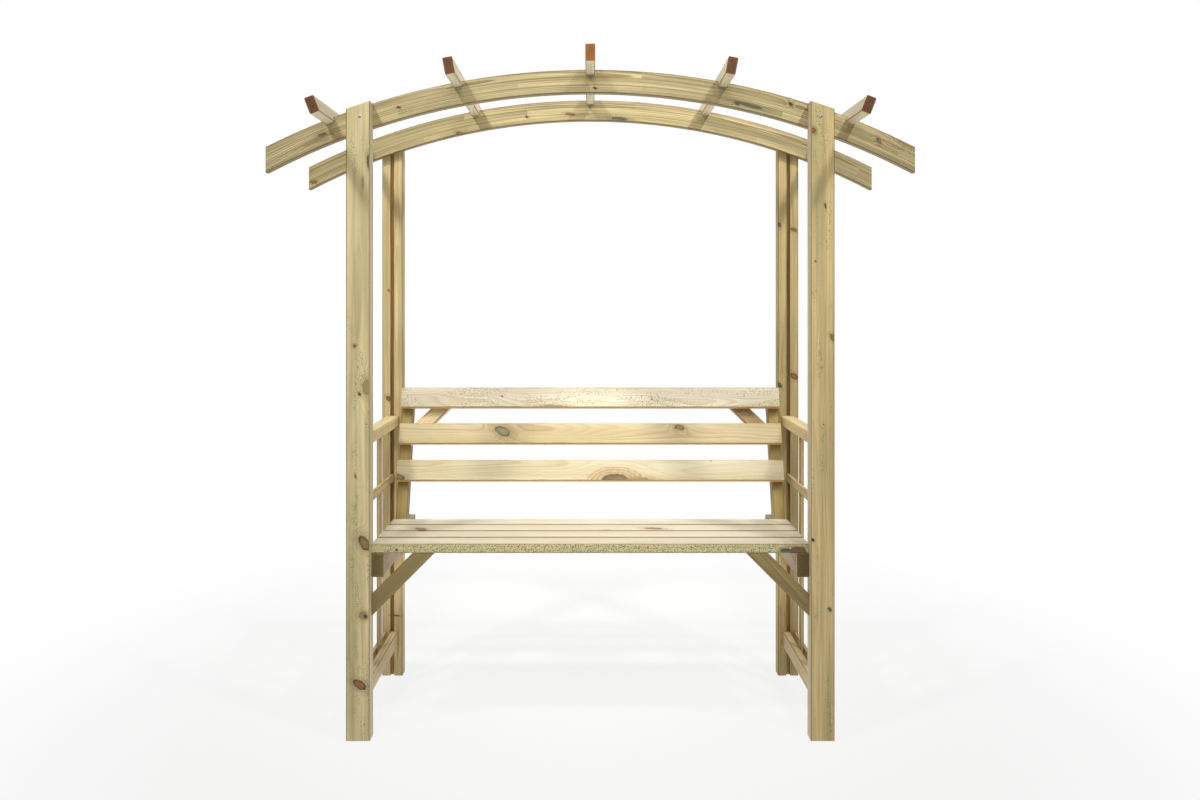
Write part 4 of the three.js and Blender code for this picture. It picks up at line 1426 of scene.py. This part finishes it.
over_head = between(0.0, HEAD_END, 0.0, math.pi / 2)
cone_depth = write.less(radius, shank)
straight = write.less(given["Length"], radius)
wide = write.times(radius, write.math("SINE", over_head))
wide = write.math("MINIMUM", wide, between(HEAD_END, CONE_END, radius, shank))
wide = write.times(wide, between(SHANK_END, 1.0, 1.0, 0.0))
high = write.times(given["Head height"], write.math("COSINE", over_head))
high = write.less(high, between(HEAD_END, CONE_END, 0.0, cone_depth))
high = write.less(high, between(CONE_END, SHANK_END, 0.0, straight))
high = write.less(high, between(SHANK_END, 1.0, 0.0, shank))
round_axis = write.vector("NORMALIZE", write.joined(at["X"], at["Y"]))
onto = write.vector("ADD", write.scaled(round_axis, wide), write.joined(None, None, high))
moved = {"Geometry": ball, "Position": onto}
shaped = write.node("GeometryNodeSetPosition", named=moved).outputs["Geometry"]
print("screw shape:", BALL_RINGS, "rings of", BALL_SIDES, "points")

# %% The cross, and a screw on each point
SLOT_WIDTH, SLOT_DEPTH = 0.36, 0.0024
SPIN_SEED = 7

cross = write.node("GeometryNodeMeshBoolean", operation="DIFFERENCE", solver="EXACT")
write.feed(cross.inputs["Mesh 1"], shaped)
slim = write.times(given["Recess"], SLOT_WIDTH)
deep = write.plus(write.times(given["Head height"], 2.0), SLOT_DEPTH)
for width, length in ((given["Recess"], slim), (slim, given["Recess"])):
    bar = write.node("GeometryNodeMeshCube", write.joined(width, length, deep)).outputs["Mesh"]
    write.feed(cross.inputs["Mesh 2"], bar)

outward = write.node("GeometryNodeInputNamedAttribute", "outward", data_type="FLOAT_VECTOR")
along_it = {"Vector": outward.outputs["Attribute"]}
upright = write.node("FunctionNodeAlignRotationToVector", named=along_it, axis="Z")
spin = write.node("FunctionNodeRandomValue", data_type="FLOAT")
spin_inputs = [socket for socket in spin.inputs if socket.enabled]
for socket, value in zip(spin_inputs, (0.0, math.tau)):
    write.feed(socket, value)
spin.inputs["Seed"].default_value = SPIN_SEED
angle = next(socket for socket in spin.outputs if socket.enabled)
turning = {"Rotation": upright.outputs["Rotation"], "Rotate By": write.joined(None, None, angle)}
driven = write.node("FunctionNodeRotateRotation", named=turning, rotation_space="LOCAL")

setting = {
    "Points": given["Geometry"], "Instance": cross.outputs["Mesh"],
    "Rotation": driven.outputs["Rotation"],
}
placed = write.node("GeometryNodeInstanceOnPoints", named=setting).outputs["Instances"]
real = write.node("GeometryNodeRealizeInstances", placed).outputs["Geometry"]
covering = {"Geometry": real, "Material": steel}
finished = write.node("GeometryNodeSetMaterial", named=covering).outputs["Geometry"]
write.node("NodeGroupOutput", finished)
print("screw design:", len(design.nodes), "nodes")

# %% Setting the screws
ARCH_SCREW_X = 0.674
ARCH_SCREW_Z = ARCH_CENTRE.z + math.sqrt(ARCH_MIDDLE**2 - ARCH_SCREW_X**2)
FRAME_FACE = 0.258
arch_screws = [
    (Vector((side * ARCH_SCREW_X, end * FRAME_FACE, ARCH_SCREW_Z)), Y * end)
    for end in ENDS.values()
    for side in SIDES.values()
]
# Each set: its places, how deep it is sunk, and where it differs from the design
SCREW_SETS = {
    "arch_screw": (arch_screws, 0.0, {"Head height": 0.0023, "Length": 0.055}),
    "purlin_screw": (purlin_screws, HEAD_SINK, {"Length": 0.074}),
    "bearer_screw": (bearer_screws, HEAD_SINK, {}),
    "stile_screw": (stile_screws, HEAD_SINK, {}),
}
for name, (driven_at, sink, values) in SCREW_SETS.items():
    piece = solid(f"{name}_set", [place - outward * sink for place, outward in driven_at])
    lay_vectors(piece.data, "outward", [outward for _, outward in driven_at])
    piece.data.materials.append(steel)
    modifier = piece.modifiers.new("screw", "NODES")
    modifier.node_group = design
    for socket in design.interface.items_tree:
        if socket.in_out == "INPUT" and socket.name in values:
            modifier[socket.identifier] = values[socket.name]
    settle(piece)
    for face in piece.data.polygons:
        face.use_smooth = False
    nodes = [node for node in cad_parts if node.startswith(f"{name}_")]
    hand_over(piece, "screw_steel", *nodes)
    print(name, "set:", len(driven_at))

# %% [markdown]
# ## Sizes
#
# The dressed seat must not reach past the solids that it stands for, so both reaches are
# put side by side, where they can be compared.

# %% Sizes and the end
low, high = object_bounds()
sizes = {"cad": [list(cad_low), list(cad_high)], "visual": [list(low), list(high)]}
